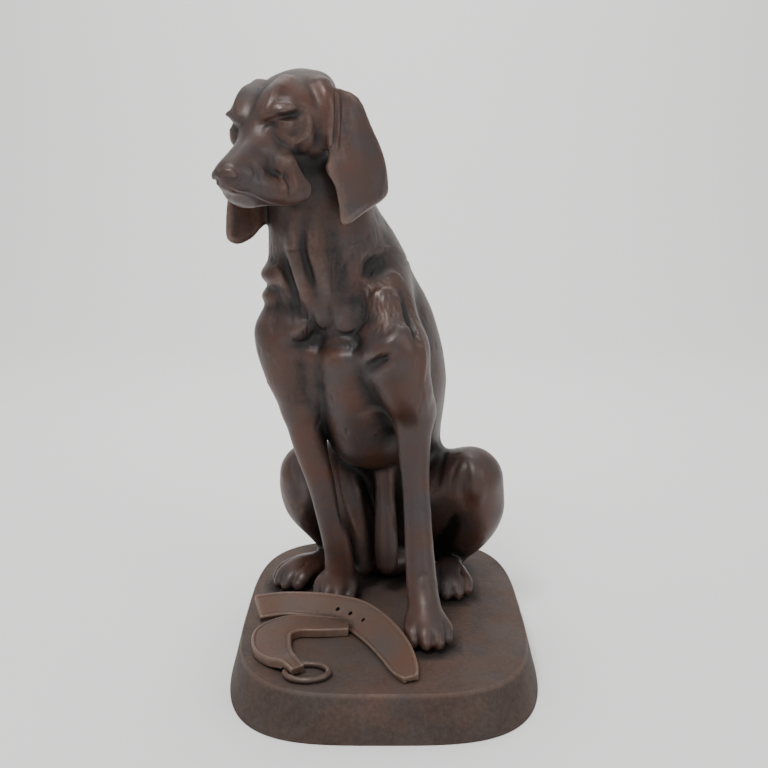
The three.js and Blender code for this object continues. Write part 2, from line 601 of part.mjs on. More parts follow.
function carveFolds({ swell }) {
  const { at: h, axes } = head;
  const press = ([points, width, height], at) => swell(stroke(points.map(at), width), height);
  for (const s of [1, -1]) {
    FACE_FOLDS.forEach((fold) => press(fold, ([f, l, u]) => h(f, l * s, u)));
    swell(dab(h(190, 12 * s, -12), [7, 6, 5], axes), -6);
  }
  FACE_MIDLINE.forEach((fold) => press(fold, (p) => h(...p)));
  CHEST_FOLDS.forEach((fold) => press(fold, (p) => body.at(...p)));
  CHEST_MUSCLES.forEach(([middle, reach, height]) => swell(dab(body.at(...middle), reach, body.axes), height));
  OUTER_FOLDS.forEach((fold) => press(fold, (p) => p));
}

function sculptHound() {
  const work = clay([-275, -290, 58], [225, 335, 965], HOUND_GRID);
  sculptTrunk(work);
  sculptForelegs(work);
  sculptHaunches(work);
  sculptPaws(work);
  sculptHead(work);
  carveFolds(work);
  work.levelBase(FLOOR);
  const face = head.at(60, 0, 0);
  const closeWork = (p) => (Math.hypot(...less(p, face)) < 140 ? 6 : 1) + (p[2] < 120 ? 3 : 0);
  return thinned(biggestBody(skinOf(work)), HOUND_FACES, closeWork);
}

// ---- the collar: the buckle-hole end leans against the coiled end, which narrows to a tongue in the ring
const COLLAR_TOP = [[-206, -55, 88, 23, 33], [-165, -42, 88, 23, 33], [-118, -46, 88, 24, 34],
  [-80, -64, 89, 26, 36], [-42, -94, 89, 28, 38], [-8, -148, 87, 28, 32], [16, -204, 83, 26, 26],
  [30, -254, 79, 21, 18], [38, -283, 77, 12, 8]];
const COLLAR_COIL = [[-58, -108, 77, 20, 0], [-100, -106, 78, 28, 0], [-145, -106, 78, 31, 0],
  [-173, -136, 78, 31, 0], [-172, -185, 78, 30, 0], [-158, -220, 79, 23, 0], [-141, -246, 84, 14, 0],
  [-128, -262, 80, 12, 0]];
const HOLE_STATIONS = [3.15, 3.7, 4.3];

function sculptCollar() {
  const work = clay([-240, -310, 62], [80, 10, 125], COLLAR_GRID);
  work.add(strap(COLLAR_COIL, 6.5, 1), 2);
  work.add(strap(COLLAR_TOP, 4.5, 1.2), 3);
  const holes = [];
  for (const station of HOLE_STATIONS) {
    const i = Math.floor(station);
    const [a, b] = [COLLAR_TOP[i], COLLAR_TOP[i + 1]];
    const p = a.map((v, k) => v + (station - i) * (b[k] - v));
    const along = unit(less(b.slice(0, 3), a.slice(0, 3)));
    const face = [-along[1] * -Math.sin(p[4] * RAD), along[0] * -Math.sin(p[4] * RAD), Math.cos(p[4] * RAD)];
    const ends = [-8, 8].map((k) => [...sum(p.slice(0, 3), scaled(face, k)), COLLAR_HOLE]);
    work.cut(limb(ends), 0.5);
    holes.push(p.slice(0, 3));
  }
  work.cut(torus([...RING.centre, FLOOR + RING.bar], RING.across, RING.along, RING.bar + 5 * GAP), 0.5);
  work.levelBase(FLOOR);
  const closeWork = (p) => (holes.some((hole) => Math.hypot(...less(p, hole)) < 12) ? 8 : 1);
  return thinned(biggestBody(skinOf(work)), COLLAR_FACES, closeWork);
}

// ---- the plinth and the ring: closed stacks of rings of points
function loft(rings, isClosed) {
  const n = rings[0].length;
  const points = rings.flat();
  const faces = [];
  const last = isClosed ? rings.length : rings.length - 1;
  for (let r = 0; r < last; r++) {
    for (let i = 0; i < n; i++) {
      const [a, b] = [r * n + i, r * n + ((i + 1) % n)];
      const [c, d] = [a, b].map((v) => (v + n) % points.length);
      faces.push([a, b, d], [a, d, c]);
    }
  }
  if (!isClosed) {
    const ends = [rings[0], rings[rings.length - 1]];
    const [bottom, top] = ends.map((ring) => points.push(scaled(ring.reduce(sum), 1 / n)) - 1);
    for (let i = 0; i < n; i++) {
      faces.push([bottom, (i + 1) % n, i]);
      faces.push([top, (rings.length - 1) * n + i, (rings.length - 1) * n + ((i + 1) % n)]);
    }
  }
  return { points, faces };
}

// A rounded rectangle: a curve between an ellipse and a box.
function plinthRing(margin, z) {
  const [a, b] = [PLINTH.width / 2 + margin, PLINTH.depth / 2 + margin];
  return Array.from({ length: PLINTH.steps }, (_, i) => {
    const turn = (2 * Math.PI * i) / PLINTH.steps;
    const [c, s] = [Math.cos(turn), Math.sin(turn)];
    const power = PLINTH.squareness;
    const reach = (Math.abs(c / a) ** power + Math.abs(s / b) ** power) ** (-1 / power);
    return [reach * c, reach * s, z];
  });
}

function makePlinth() {
  const { height, batter, arris } = PLINTH;
  return loft([plinthRing(batter, 0), plinthRing(0, height - arris), plinthRing(-arris, height)], false);
}

function makeRing() {
  const rings = Array.from({ length: RING.bend }, (_, i) => {
    const turn = (2 * Math.PI * i) / RING.bend;
    return Array.from({ length: RING.bar_steps }, (__, k) => {
      const around = (-2 * Math.PI * k) / RING.bar_steps;
      const grow = RING.bar * Math.cos(around);
      const [x, y] = [(RING.across + grow) * Math.cos(turn), (RING.along + grow) * Math.sin(turn)];
      return [RING.centre[0] + x, RING.centre[1] + y, FLOOR + RING.bar + RING.bar * Math.sin(around)];
    });
  });
  return loft(rings, true);
}

// ---- assembly
const ironOf = (name, color, roughness, metalness) => {
  return new THREE.MeshStandardMaterial({ name, color, roughness, metalness });
};
const IRON = ironOf("cast_iron", 0x55433c, 0.5, 0.6);
const RUSTY_IRON = ironOf("plinth_iron", 0x59463f, 0.7, 0.5);

function meshOf(name, { points, faces }, material) {
  const geometry = new THREE.BufferGeometry();
  geometry.setAttribute("position", new THREE.Float32BufferAttribute(points.flat(), 3));
  geometry.setIndex(faces.flat());
  geometry.computeVertexNormals();
  const mesh = new THREE.Mesh(geometry, material);
  mesh.name = name;
  return mesh;
}

const group = new THREE.Group();
group.name = "cast_iron_dog_statue";
group.add(meshOf("plinth", makePlinth(), RUSTY_IRON));
group.add(meshOf("hound", sculptHound(), IRON));
group.add(meshOf("collar_strap", sculptCollar(), RUSTY_IRON));
group.add(meshOf("collar_ring", makeRing(), RUSTY_IRON));

export default group;
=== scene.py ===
"""A seated long-eared hound in cast iron on its plinth, with its collar and ring laid in front of its paws.

The hound and the collar are sculpted as wax would be: round forms are pressed together in a distance field on a
grid, folds are raised and sunk in it, and the skin of the field becomes the mesh. Lengths are in millimetres until
a mesh is made. +X is the hound's left, -Y is where its chest faces and +Z is up.
"""
import math

import bpy
import numpy as np
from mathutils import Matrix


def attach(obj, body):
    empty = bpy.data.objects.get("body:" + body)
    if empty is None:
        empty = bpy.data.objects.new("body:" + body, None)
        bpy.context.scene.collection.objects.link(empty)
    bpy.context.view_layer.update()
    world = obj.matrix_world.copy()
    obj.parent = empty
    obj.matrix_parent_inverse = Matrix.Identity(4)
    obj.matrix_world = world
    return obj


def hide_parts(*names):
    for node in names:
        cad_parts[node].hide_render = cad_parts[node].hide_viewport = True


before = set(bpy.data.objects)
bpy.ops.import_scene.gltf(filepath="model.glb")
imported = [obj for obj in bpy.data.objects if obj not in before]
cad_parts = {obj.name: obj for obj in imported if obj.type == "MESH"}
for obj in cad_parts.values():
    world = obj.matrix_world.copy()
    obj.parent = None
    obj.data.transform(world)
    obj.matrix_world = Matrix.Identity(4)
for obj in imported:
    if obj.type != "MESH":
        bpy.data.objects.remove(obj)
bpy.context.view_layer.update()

MM = 0.001
HOUND_GRID = 2.0      # spacing of the hound's field
COLLAR_GRID = 1.1     # spacing of the collar's field
HOUND_FACES = 190000
COLLAR_FACES = 60000
FAR = 60.0                              # distance that stands for empty space
GAP = 0.3                               # clearance between two pieces that touch
PLINTH = dict(width=460, depth=640, height=70, batter=17, squareness=3.54, arris=2)
FLOOR = PLINTH["height"] + GAP          # where the paws and the collar lie
RING = dict(centre=(-113, -261), across=32, along=26, bar=5)
chance = np.random.default_rng(12)


# ---- small sums
def unit(v):
    v = np.asarray(v, float)
    return v / np.linalg.norm(v)


class Frame:
    """A local frame: forward, left and up at an origin, turned to the hound's right by yaw."""

    def __init__(self, origin, yaw, nod=0.0, tilt=0.0):
        cy, sy, cn, sn, ct, st = (f(math.radians(a)) for a in (yaw, nod, tilt) for f in (math.cos, math.sin))
        self.origin = np.array(origin, float)
        forward = np.array([-sy * cn, -cy * cn, -sn])
        left = np.array([cy, -sy, 0.0])
        up = np.cross(forward, left)
        self.axes = np.array([forward, left * ct + up * st, up * ct - left * st])

    def at(self, f, l, u):
        return self.origin + np.array([f, l, u]) @ self.axes

    def bar(self, *points):
        """Points [f, l, u, radius] of a limb."""
        return [[*self.at(*p[:3]), p[3]] for p in points]


def through_points(points, per, closed=False):
    """A Catmull-Rom curve through points of any width."""
    p = np.asarray(points, float)
    n = len(p)
    if closed:
        at = lambda i: p[i % n]
    else:
        ends = np.vstack([2 * p[0] - p[1], p, 2 * p[-1] - p[-2]])
        at = lambda i: ends[i + 1]
    curve = []
    for i in range(n if closed else n - 1):
        a, b, c, d = at(i - 1), at(i), at(i + 1), at(i + 2)
        for t in np.arange(per) / per:
            curve.append(0.5 * (2 * b + (c - a) * t + (2 * a - 5 * b + 4 * c - d) * t * t
                                + (3 * b - a - 3 * c + d) * t ** 3))
    return np.array(curve if closed else curve + [p[-1]])


def box_of(points, margin):
    p = np.asarray(points, float)[:, :3]
    return p.min(0) - margin, p.max(0) + margin


# ---- forms: a distance, or a weight that fades away, with the box it reaches
def egg(centre, radii, axes=np.eye(3)):
    centre, radii, axes = np.asarray(centre, float), np.asarray(radii, float), np.asarray(axes)
    half = np.sqrt(((axes * radii[:, None]) ** 2).sum(0))

    def dist(x, y, z):
        x, y, z = x - centre[0], y - centre[1], z - centre[2]
        q = [a[0] * x + a[1] * y + a[2] * z for a in axes]
        k = np.sqrt(sum((v / r) ** 2 for v, r in zip(q, radii)))
        slope = np.sqrt(sum((v / r ** 2) ** 2 for v, r in zip(q, radii)))
        return k * (k - 1) / np.maximum(slope, 1e-6)

    return dist, centre - half, centre + half


def nearest(curve, x, y, z, radius=None):
    """Where a place lies along a curve: squared distance, segment, share along it; nearer counts the radius."""
    best = None
    for i in range(len(curve) - 1):
        a, ab = curve[i, :3], curve[i + 1, :3] - curve[i, :3]
        px, py, pz = x - a[0], y - a[1], z - a[2]
        t = np.clip((px * ab[0] + py * ab[1] + pz * ab[2]) / max(float(ab @ ab), 1e-9), 0, 1)
        d2 = (px - t * ab[0]) ** 2 + (py - t * ab[1]) ** 2 + (pz - t * ab[2]) ** 2
        score = np.sqrt(d2) - (radius[i] + t * (radius[i + 1] - radius[i])) if radius is not None else d2
        if best is None:
            best = [score, d2, np.full(d2.shape, i), t]
        else:
            closer = score < best[0]
            best = [np.where(closer, new, old) for new, old in zip((score, d2, i, t), best)]
    return best


def limb(points, per=10):
    """A round bar that follows points [x, y, z, radius]."""
    curve = through_points(points, per) if len(points) > 2 else np.asarray(points, float)
    radius = curve[:, 3]
    return lambda x, y, z: nearest(curve, x, y, z, radius)[0], *box_of(points, max(p[3] for p in points) + 2)


def blade(outline, origin, across, up, half_thickness, bend):
    """A thin blade, such as an ear: a closed outline of (across, up) points, bent about its up axis."""
    origin, a, b = np.asarray(origin, float), unit(across), unit(up)
    n = unit(np.cross(a, b))
    ring = through_points(outline, 3, closed=True)
    corners = origin + ring[:, :1] * a + ring[:, 1:] * b + bend * ring[:, :1] ** 2 * n

    def dist(x, y, z):
        x, y, z = x - origin[0], y - origin[1], z - origin[2]
        s, t = (v[0] * x + v[1] * y + v[2] * z for v in (a, b))
        w = n[0] * x + n[1] * y + n[2] * z - bend * s * s
        d2 = np.full(s.shape, np.inf)
        inside = np.zeros(s.shape, bool)
        for p, q in zip(ring, np.roll(ring, -1, 0)):
            e, ps, pt = q - p, s - p[0], t - p[1]
            k = np.clip((ps * e[0] + pt * e[1]) / float(e @ e), 0, 1)
            d2 = np.minimum(d2, (ps - k * e[0]) ** 2 + (pt - k * e[1]) ** 2)
            inside ^= ((p[1] > t) != (q[1] > t)) & (s < e[0] * pt / (e[1] + 1e-12) + p[0])
        edge = np.where(inside, -1, 1) * np.sqrt(d2) + half_thickness
        return np.where(edge > 0, np.sqrt(np.maximum(edge, 0) ** 2 + w ** 2), np.abs(w)) - half_thickness

    return dist, *box_of(corners, half_thickness + 6)


def strap(stations, half_thickness, rim, per=6):
    """A flat strap along stations [x, y, z, half width, lean]; lean 0 lies flat. Its long borders are raised."""
    curve = through_points(stations, per)
    last = len(curve) - 1
    heading = np.array([unit((curve[min(i + 1, last)] - curve[max(i - 1, 0)])[:3]) for i in range(last + 1)])

    def dist(x, y, z):
        _, _, i, t = nearest(curve, x, y, z, curve[:, 3])
        mix = lambda v: v[i] * (1 - t[..., None]) + v[i + 1] * t[..., None]
        middle, along = mix(curve), mix(heading)
        along = along / np.linalg.norm(along, axis=-1, keepdims=True)
        level = np.stack([-along[..., 1], along[..., 0], 0 * t], -1)
        level /= np.linalg.norm(level, axis=-1, keepdims=True)
        lean = np.radians(middle[..., 4:5])
        face = np.cross(along, level * np.cos(lean) + np.array([0, 0, 1]) * np.sin(lean))
        face /= np.linalg.norm(face, axis=-1, keepdims=True)
        d = np.stack(np.broadcast_arrays(x, y, z), -1) - middle[..., :3]
        lift = (d * face).sum(-1)
        past_end = (i + t == 0) | (i + t == last)
        beyond = np.where(past_end, np.abs((d * along).sum(-1)), 0)
        side = np.sqrt(np.maximum((d * d).sum(-1) - lift ** 2 - beyond ** 2, 0))
        half = middle[..., 3]
        border = rim * np.exp(-((side - half + 3) / 2.2) ** 2)
        groove = 0.9 * np.exp(-((side - half + 7) / 1.1) ** 2)
        q = [side - half + 1.5, np.abs(lift) - half_thickness - border + groove + 1.5, beyond - 1]
        return np.sqrt(sum(np.maximum(v, 0) ** 2 for v in q)) + np.minimum(np.maximum.reduce(q), 0) - 1.5

    widest = max(p[3] for p in stations)
    return dist, *box_of(stations, widest + half_thickness + rim + 2)


def torus(centre, across, along, bar):
    def dist(x, y, z):
        px, py = x - centre[0], y - centre[1]
        turn = np.arctan2(py / along, px / across)
        return np.sqrt((px - across * np.cos(turn)) ** 2 + (py - along * np.sin(turn)) ** 2
                       + (z - centre[2]) ** 2) - bar

    return dist, *box_of([centre], max(across, along) + bar)


def stroke(points, width):
    curve = through_points(points, 4)
    last = len(curve) - 1

    def weight(x, y, z):
        _, d2, i, t = nearest(curve, x, y, z)
        return np.exp(-d2 / width ** 2) * np.sin(math.pi * ((i + t) / last * 0.84 + 0.08))

    return weight, *box_of(curve, width * 2.6)


def dab(centre, radii, axes=np.eye(3)):
    centre, radii = np.asarray(centre, float), np.asarray(radii, float) * np.ones(3)
    half = 2.4 * np.sqrt(((axes * radii[:, None]) ** 2).sum(0))

    def weight(x, y, z):
        x, y, z = x - centre[0], y - centre[1], z - centre[2]
        return np.exp(-sum(((a[0] * x + a[1] * y + a[2] * z) / r) ** 2 for a, r in zip(axes, radii)))

    return weight, centre - half, centre + half


# ---- clay: the distance field on a grid
class Clay:
    def __init__(self, low, high, step):
        self.low, self.step = np.asarray(low, float), step
        self.count = np.ceil((np.asarray(high, float) - self.low) / step).astype(int) + 1
        self.axes = [(self.low[i] + step * np.arange(self.count[i])).astype(np.float32) for i in range(3)]
        self.field = np.full(tuple(self.count), FAR, np.float32)

    def window(self, low, high):
        start = np.clip(np.floor((low - self.low) / self.step).astype(int), 0, self.count - 1)
        stop = np.clip(np.ceil((high - self.low) / self.step).astype(int) + 1, start + 1, self.count)
        part = tuple(slice(a, b) for a, b in zip(start, stop))
        x, y, z = (axis[p] for axis, p in zip(self.axes, part))
        return part, (x[:, None, None], y[None, :, None], z[None, None, :])

    def blend(self, form, soft, sign):
        dist, low, high = form
        part, grid = self.window(low - soft - 2 * self.step, high + soft + 2 * self.step)
        old, new = sign * self.field[part], dist(*grid)
        near = np.maximum(soft - np.abs(old - new), 0) / soft
        self.field[part] = sign * (np.minimum(old, new) - near * near * soft / 4)

    def add(self, form, soft):
        self.blend(form, soft, 1)

    def cut(self, form, soft):
        self.blend(form, soft, -1)

    def swell(self, mark, height):
        weight, low, high = mark
        part, grid = self.window(low, high)
        self.field[part] -= (height * weight(*grid)).astype(np.float32)

    def level_base(self, height):
        np.maximum(self.field, (height - self.axes[2])[None, None, :], out=self.field)

    def sample(self, points, field=None, step=None):
        """The field at points, between its grid's places."""
        field, step = self.field if field is None else field, step or self.step
        q = (points - self.low) / step
        i = np.clip(np.floor(q).astype(int), 0, np.array(field.shape) - 2)
        f = np.clip(q - i, 0, 1)
        total = np.zeros(len(points))
        for corner in np.ndindex(2, 2, 2):
            share = np.prod(np.where(corner, f, 1 - f), 1)
            total += share * field[tuple((i + corner).T)]
        return total

    def normals(self, points):
        e = np.eye(3) * self.step
        g = np.stack([self.sample(points + e[k]) - self.sample(points - e[k]) for k in range(3)], 1)
        return g / np.maximum(np.linalg.norm(g, axis=1, keepdims=True), 1e-9)

    def hollows(self, points, reach):
        """How far the skin lies in a hollow, above 0, or on a ridge, below 0, over a reach in mm."""
        every = 2
        field = np.clip(self.field[::every, ::every, ::every], -reach * 1.5, reach * 1.5)
        wide = field
        r = max(1, round(reach / (self.step * every)))
        for _ in range(2):
            for axis in range(3):
                total = np.cumsum(np.pad(wide, [(r + 1, r) if k == axis else (0, 0) for k in range(3)], mode="edge"),
                                  axis=axis, dtype=np.float64)
                upper = np.take(total, range(2 * r + 1, total.shape[axis]), axis)
                lower = np.take(total, range(0, total.shape[axis] - 2 * r - 1), axis)
                wide = ((upper - lower) / (2 * r + 1)).astype(np.float32)
        return (self.sample(points, field - wide, self.step * every)) / reach

    def skin(self):
        """Points and four-cornered faces of the surface, one point to each cell that it crosses."""
        f, inside = self.field, self.field < 0
        n = np.array(f.shape)
        corners = list(np.ndindex(2, 2, 2))
        held = sum(inside[dx:n[0] - 1 + dx, dy:n[1] - 1 + dy, dz:n[2] - 1 + dz].astype(np.uint8)
                   for dx, dy, dz in corners)
        cell = np.nonzero((held > 0) & (held < 8))
        index = np.full(held.shape, -1, np.int32)
        index[cell] = np.arange(len(cell[0]))
        value = [f[cell[0] + a, cell[1] + b, cell[2] + c] for a, b, c in corners]
        total, hits = np.zeros((len(cell[0]), 3)), np.zeros(len(cell[0]))
        for i, a in enumerate(corners):
            for j, b in enumerate(corners):
                if j <= i or sum(abs(p - q) for p, q in zip(a, b)) != 1:
                    continue
                crosses = (value[i] < 0) != (value[j] < 0)
                t = np.where(crosses, value[i] / np.where(crosses, value[i] - value[j], 1), 0)
                for k in range(3):
                    total[:, k] += np.where(crosses, a[k] + t * (b[k] - a[k]), 0)
                hits += crosses
        points = (np.stack(cell, 1) + total / hits[:, None]) * self.step + self.low
        faces = []
        for axis in range(3):
            u, w = (axis + 1) % 3, (axis + 2) % 3
            first, second = np.split(np.array([0, n[axis] - 1, 1, n[axis]]), 2)
            a, b = (np.take(inside, range(*ends), axis) for ends in (first, second))
            edge = np.array(np.nonzero(a != b))
            edge = edge[:, (edge[u] > 0) & (edge[w] > 0) & (edge[u] < n[u] - 1) & (edge[w] < n[w] - 1)]
            outward = a[tuple(edge)]
            ring = []
            for du, dw in ((1, 1), (0, 1), (0, 0), (1, 0)):
                at = edge.copy()
                at[u] -= du
                at[w] -= dw
                ring.append(index[tuple(at)])
            face = np.stack(ring, 1)
            face[~outward] = face[~outward][:, ::-1]
            faces.append(face)
        return points, np.concatenate(faces)


def main_body(points, faces):
    """The largest joined part of a mesh; crumbs are dropped."""
    label = np.arange(len(points))
    edges = np.concatenate([faces[:, [k, (k + 1) % faces.shape[1]]] for k in range(faces.shape[1])])
    while True:
        low = np.minimum(label[edges[:, 0]], label[edges[:, 1]])
        new = label.copy()
        np.minimum.at(new, edges[:, 0], low)
        np.minimum.at(new, edges[:, 1], low)
        new = new[new]
        if np.array_equal(new, label):
            break
        label = new
    kept = label == np.bincount(label).argmax()
    renumber = np.cumsum(kept) - 1
    return points[kept], renumber[faces[kept[faces[:, 0]]]]


# ---- meshes
def piece(name, points, faces, node, slot):
    """A mesh piece in metres, standing for one node and riding on the row's one body."""
    mesh = bpy.data.meshes.new(name)
    mesh.vertices.add(len(points))
    mesh.vertices.foreach_set("co", (np.asarray(points) * MM).astype(np.float32).ravel())
    sides = faces.shape[1]
    mesh.loops.add(faces.size)
    mesh.loops.foreach_set("vertex_index", faces.astype(np.int32).ravel())
    mesh.polygons.add(len(faces))
    mesh.polygons.foreach_set("loop_start", np.arange(len(faces), dtype=np.int32) * sides)
    mesh.update(calc_edges=True)
    mesh.validate()
    obj = bpy.data.objects.new(name, mesh)
    bpy.context.scene.collection.objects.link(obj)
    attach(obj, "root")
    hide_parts(node)
    return obj


def thin(obj, wanted):
    """Lowers a piece to about the wanted number of triangles, most of them kept where it's most curved."""
    now = sum(len(p.vertices) - 2 for p in obj.data.polygons)
    if now > wanted:
        fewer = obj.modifiers.new("fewer", "DECIMATE")
        fewer.ratio = wanted / now
        bpy.context.view_layer.update()
        mesh = bpy.data.meshes.new_from_object(obj.evaluated_get(bpy.context.evaluated_depsgraph_get()))
        obj.modifiers.remove(fewer)
        old, obj.data = obj.data, mesh
        bpy.data.meshes.remove(old)
    obj.data.shade_smooth()


def places(obj):
    co = np.empty(len(obj.data.vertices) * 3, np.float32)
    obj.data.vertices.foreach_get("co", co)
    return co.reshape(-1, 3) / MM


def note(obj, name, values):
    """Stores one number at each point for the finish to read."""
    layer = obj.data.attributes.new(name, "FLOAT", "POINT")
    layer.data.foreach_set("value", np.asarray(values, np.float32))


# ---- the hound
body = Frame([25, 200, 0], 20)
head = Frame([-146, -86, 882], 28, 28, 5)

EAR = [(45, 2), (47, -50), (49, -93), (53, -111), (40, -134), (34, -162), (27, -192), (-10, -173),
       (-56, -152), (-61, -132), (-55, -104), (-40, -76), (-20, -46), (3, -8)]
FAR_EAR = [(15, 4), (28, -60), (42, -100), (50, -128), (53, -160), (52, -184), (34, -193), (10, -186),
           (-6, -172), (-26, -154), (-44, -115), (-36, -70), (-14, -20)]
PAWS = [((67, -146, 92), -10), ((-80, 34, 92), 12), ((114, 56, 90), -4), ((-150, 94, 90), 44)]
TOES = [(-25, 14), (-9, 27), (9, 27), (25, 14)]

# Folds: a run of points, how wide the mark is and how high it stands (below 0 it's sunk).
FACE_FOLDS = [
    ([(76, 42, 38), (63, 56, 31), (44, 64, 19)], 6, 6),
    ([(80, 44, 24), (62, 56, 17), (46, 64, 12)], 6, -9),
    ([(42, 68, 4), (46, 66, -10), (58, 57, -19), (72, 46, -18), (80, 40, 0)], 5, 4),
    ([(88, 36, 22), (90, 36, 2), (84, 42, -16)], 5, -3),
    ([(22, 29, 55), (42, 31, 52), (60, 31, 46), (78, 24, 34)], 5, 4),
    ([(32, 40, 49), (58, 43, 40)], 9, -3),
    ([(36, 68, -10), (42, 63, -42), (76, 52, -50)], 7, -5),
    ([(112, 45, -36), (122, 48, -56), (133, 46, -74)], 5, 3),
    ([(106, 48, -40), (116, 49, -62), (127, 46, -82)], 5, -5),
    ([(100, 51, -46), (108, 50, -68), (116, 46, -90)], 6, 4),
    ([(90, 50, -50), (97, 48, -72)], 6, -5),
    ([(176, 22, 6), (173, 26, -14), (168, 27, -26)], 4.5, -3),
    ([(150, 26, 2), (147, 31, -14), (150, 33, -30)], 5, -3),
    ([(124, 26, 6), (118, 35, -14), (118, 40, -30)], 6, -2.5),
]
FACE_MIDLINE = [
    ([(10, 0, 52), (50, 0, 48), (80, 0, 30)], 9, -5),
    ([(178, 0, 8), (194, 0, -8), (184, 0, -26)], 4, -3),
]
FACE_MARKS = [
    ([(76, 43, 37), (71, 50, 38), (62, 60, 32), (39, 62, 21), (38, 66, 13)], 2.5, -3),
    ([(78, 44, 30), (75, 50, 31), (59, 54, 22), (47, 59, 18)], 3, 2.5),
    ([(76, 41, 23), (67, 46, 19), (56, 53, 15), (46, 60, 15)], 2.2, -4),
    ([(75, 40, 18), (72, 50, 11), (57, 57, 6), (47, 62, 8)], 2.2, 1.8),
    ([(76, 41, 14), (73, 50, 7), (58, 57, 2)], 2.5, -1.5),
    ([(40, 64, 15), (42, 67, 6), (47, 67, -3), (53, 62, -8), (61, 54, -9)], 3, 0.8),
    ([(76, 41, 22), (82, 33, 23), (84, 22, 21), (91, 14, 18)], 2.5, -2),
    ([(78, 35, 17), (83, 27, 16), (92, 21, 12)], 2.5, -1.5),
    ([(31, 32, 57), (53, 35, 50), (70, 35, 43), (81, 26, 33)], 3, -1.8),
    ([(31, 37, 54), (51, 39, 48), (70, 41, 40)], 4, 1.5),
    ([(55, 30, 52), (67, 26, 46), (77, 13, 33)], 4, -1),
    ([(181, 0, 4), (177, 11, 5), (178, 19, -2), (177, 22, -13), (176, 21, -26)], 2.5, -2.2),
    ([(185, 0, 1), (182, 13, 2), (182, 18, -3), (182, 20, -13), (180, 18, -23)], 2.5, 1.5),
    ([(188, 0, -17), (186, 10, -18), (180, 16, -28)], 2.5, -2),
    ([(157, 23, -6), (150, 27, -14), (157, 30, -24), (169, 26, -30)], 2, -1.8),
    ([(140, 28, -15), (136, 31, -26), (147, 34, -33), (162, 31, -38)], 2.5, 1.2),
    ([(151, 31, -27), (154, 37, -42), (144, 42, -62)], 2.2, -1),
    ([(135, 31, -28), (133, 38, -41), (137, 46, -58)], 2.2, -1),
    ([(120, 32, -31), (117, 38, -43), (129, 46, -54)], 2.2, -1),
    ([(188, 4, -21), (176, 9, -38), (165, 21, -53), (144, 27, -76), (120, 32, -92)], 3, -3),
    ([(115, 42, -45), (131, 48, -60), (124, 36, -90)], 4, -0.8),
    ([(108, 45, -49), (119, 48, -69), (112, 40, -94)], 5, 2.5),
    ([(105, 51, -51), (115, 53, -72), (104, 44, -96)], 4, -0.8),
    ([(92, 50, -58), (106, 55, -74), (107, 43, -97)], 5, 2),
    ([(90, 49, -52), (97, 50, -64), (104, 50, -78)], 6, 3),
    ([(90, 36, -11), (94, 46, -23), (63, 37, -46), (50, 45, -48), (47, 61, -33)], 5, -1.8),
    ([(107, 48, -35), (109, 44, -51), (126, 50, -59)], 3, -1.5),
    ([(116, 5, 11), (141, 9, 8), (170, 14, 4)], 6, 1),
]
SHARED = [points for points, _, _ in FACE_FOLDS]
WHISKER_PITS = [(158, 34, -42), (150, 36, -46), (142, 40, -50), (133, 44, -54),
                (156, 35, -50), (147, 38, -54), (139, 42, -60), (152, 36, -58)]
CHEST_FOLDS = [
    ([(322, -52, 730), (312, -61, 678), (306, -54, 642), (294, -43, 594)], 12, 12),
    ([(317, -23, 727), (311, -26, 679), (303, -19, 645), (290, -13, 598)], 11, 12),
    ([(316, -38, 725), (311, -43, 678), (304, -37, 643), (292, -28, 594)], 8, -8),
    ([(310, 4, 720), (302, 6, 680), (292, 12, 640), (284, 10, 606)], 14, -10),
    ([(306, -82, 668), (302, -73, 632), (292, -66, 592)], 9, -13),
    ([(300, -96, 656), (300, -86, 632), (296, -76, 608)], 8, 5),
    ([(248, 60, 674), (262, 36, 664), (268, 24, 640)], 7, 4),
    ([(232, 88, 640), (240, 96, 600), (262, 112, 560), (270, 128, 520)], 10, -9),
    ([(283, 110, 560), (300, 88, 540), (292, 52, 514)], 9, 8),
    ([(285, 104, 536), (298, 80, 516), (288, 44, 492)], 11, -12),
]
CHEST_MUSCLES = [
    ((280, -110, 634), (36, 30, 15), 26),
    ((262, -124, 599), (26, 24, 11), 13),
    ((276, -30, 574), (24, 15, 20), 10),
    ((272, 4, 572), (24, 20, 20), 10),
    ((268, 0, 530), (26, 46, 14), -13),
    ((292, -60, 556), (16, 20, 18), 5),
    ((290, -50, 524), (16, 30, 10), -6),
    ((286, -104, 548), (16, 14, 22), -5),
    ((248, 50, 652), (26, 19, 15), -15),
    ((262, 66, 600), (24, 20, 24), 10),
]
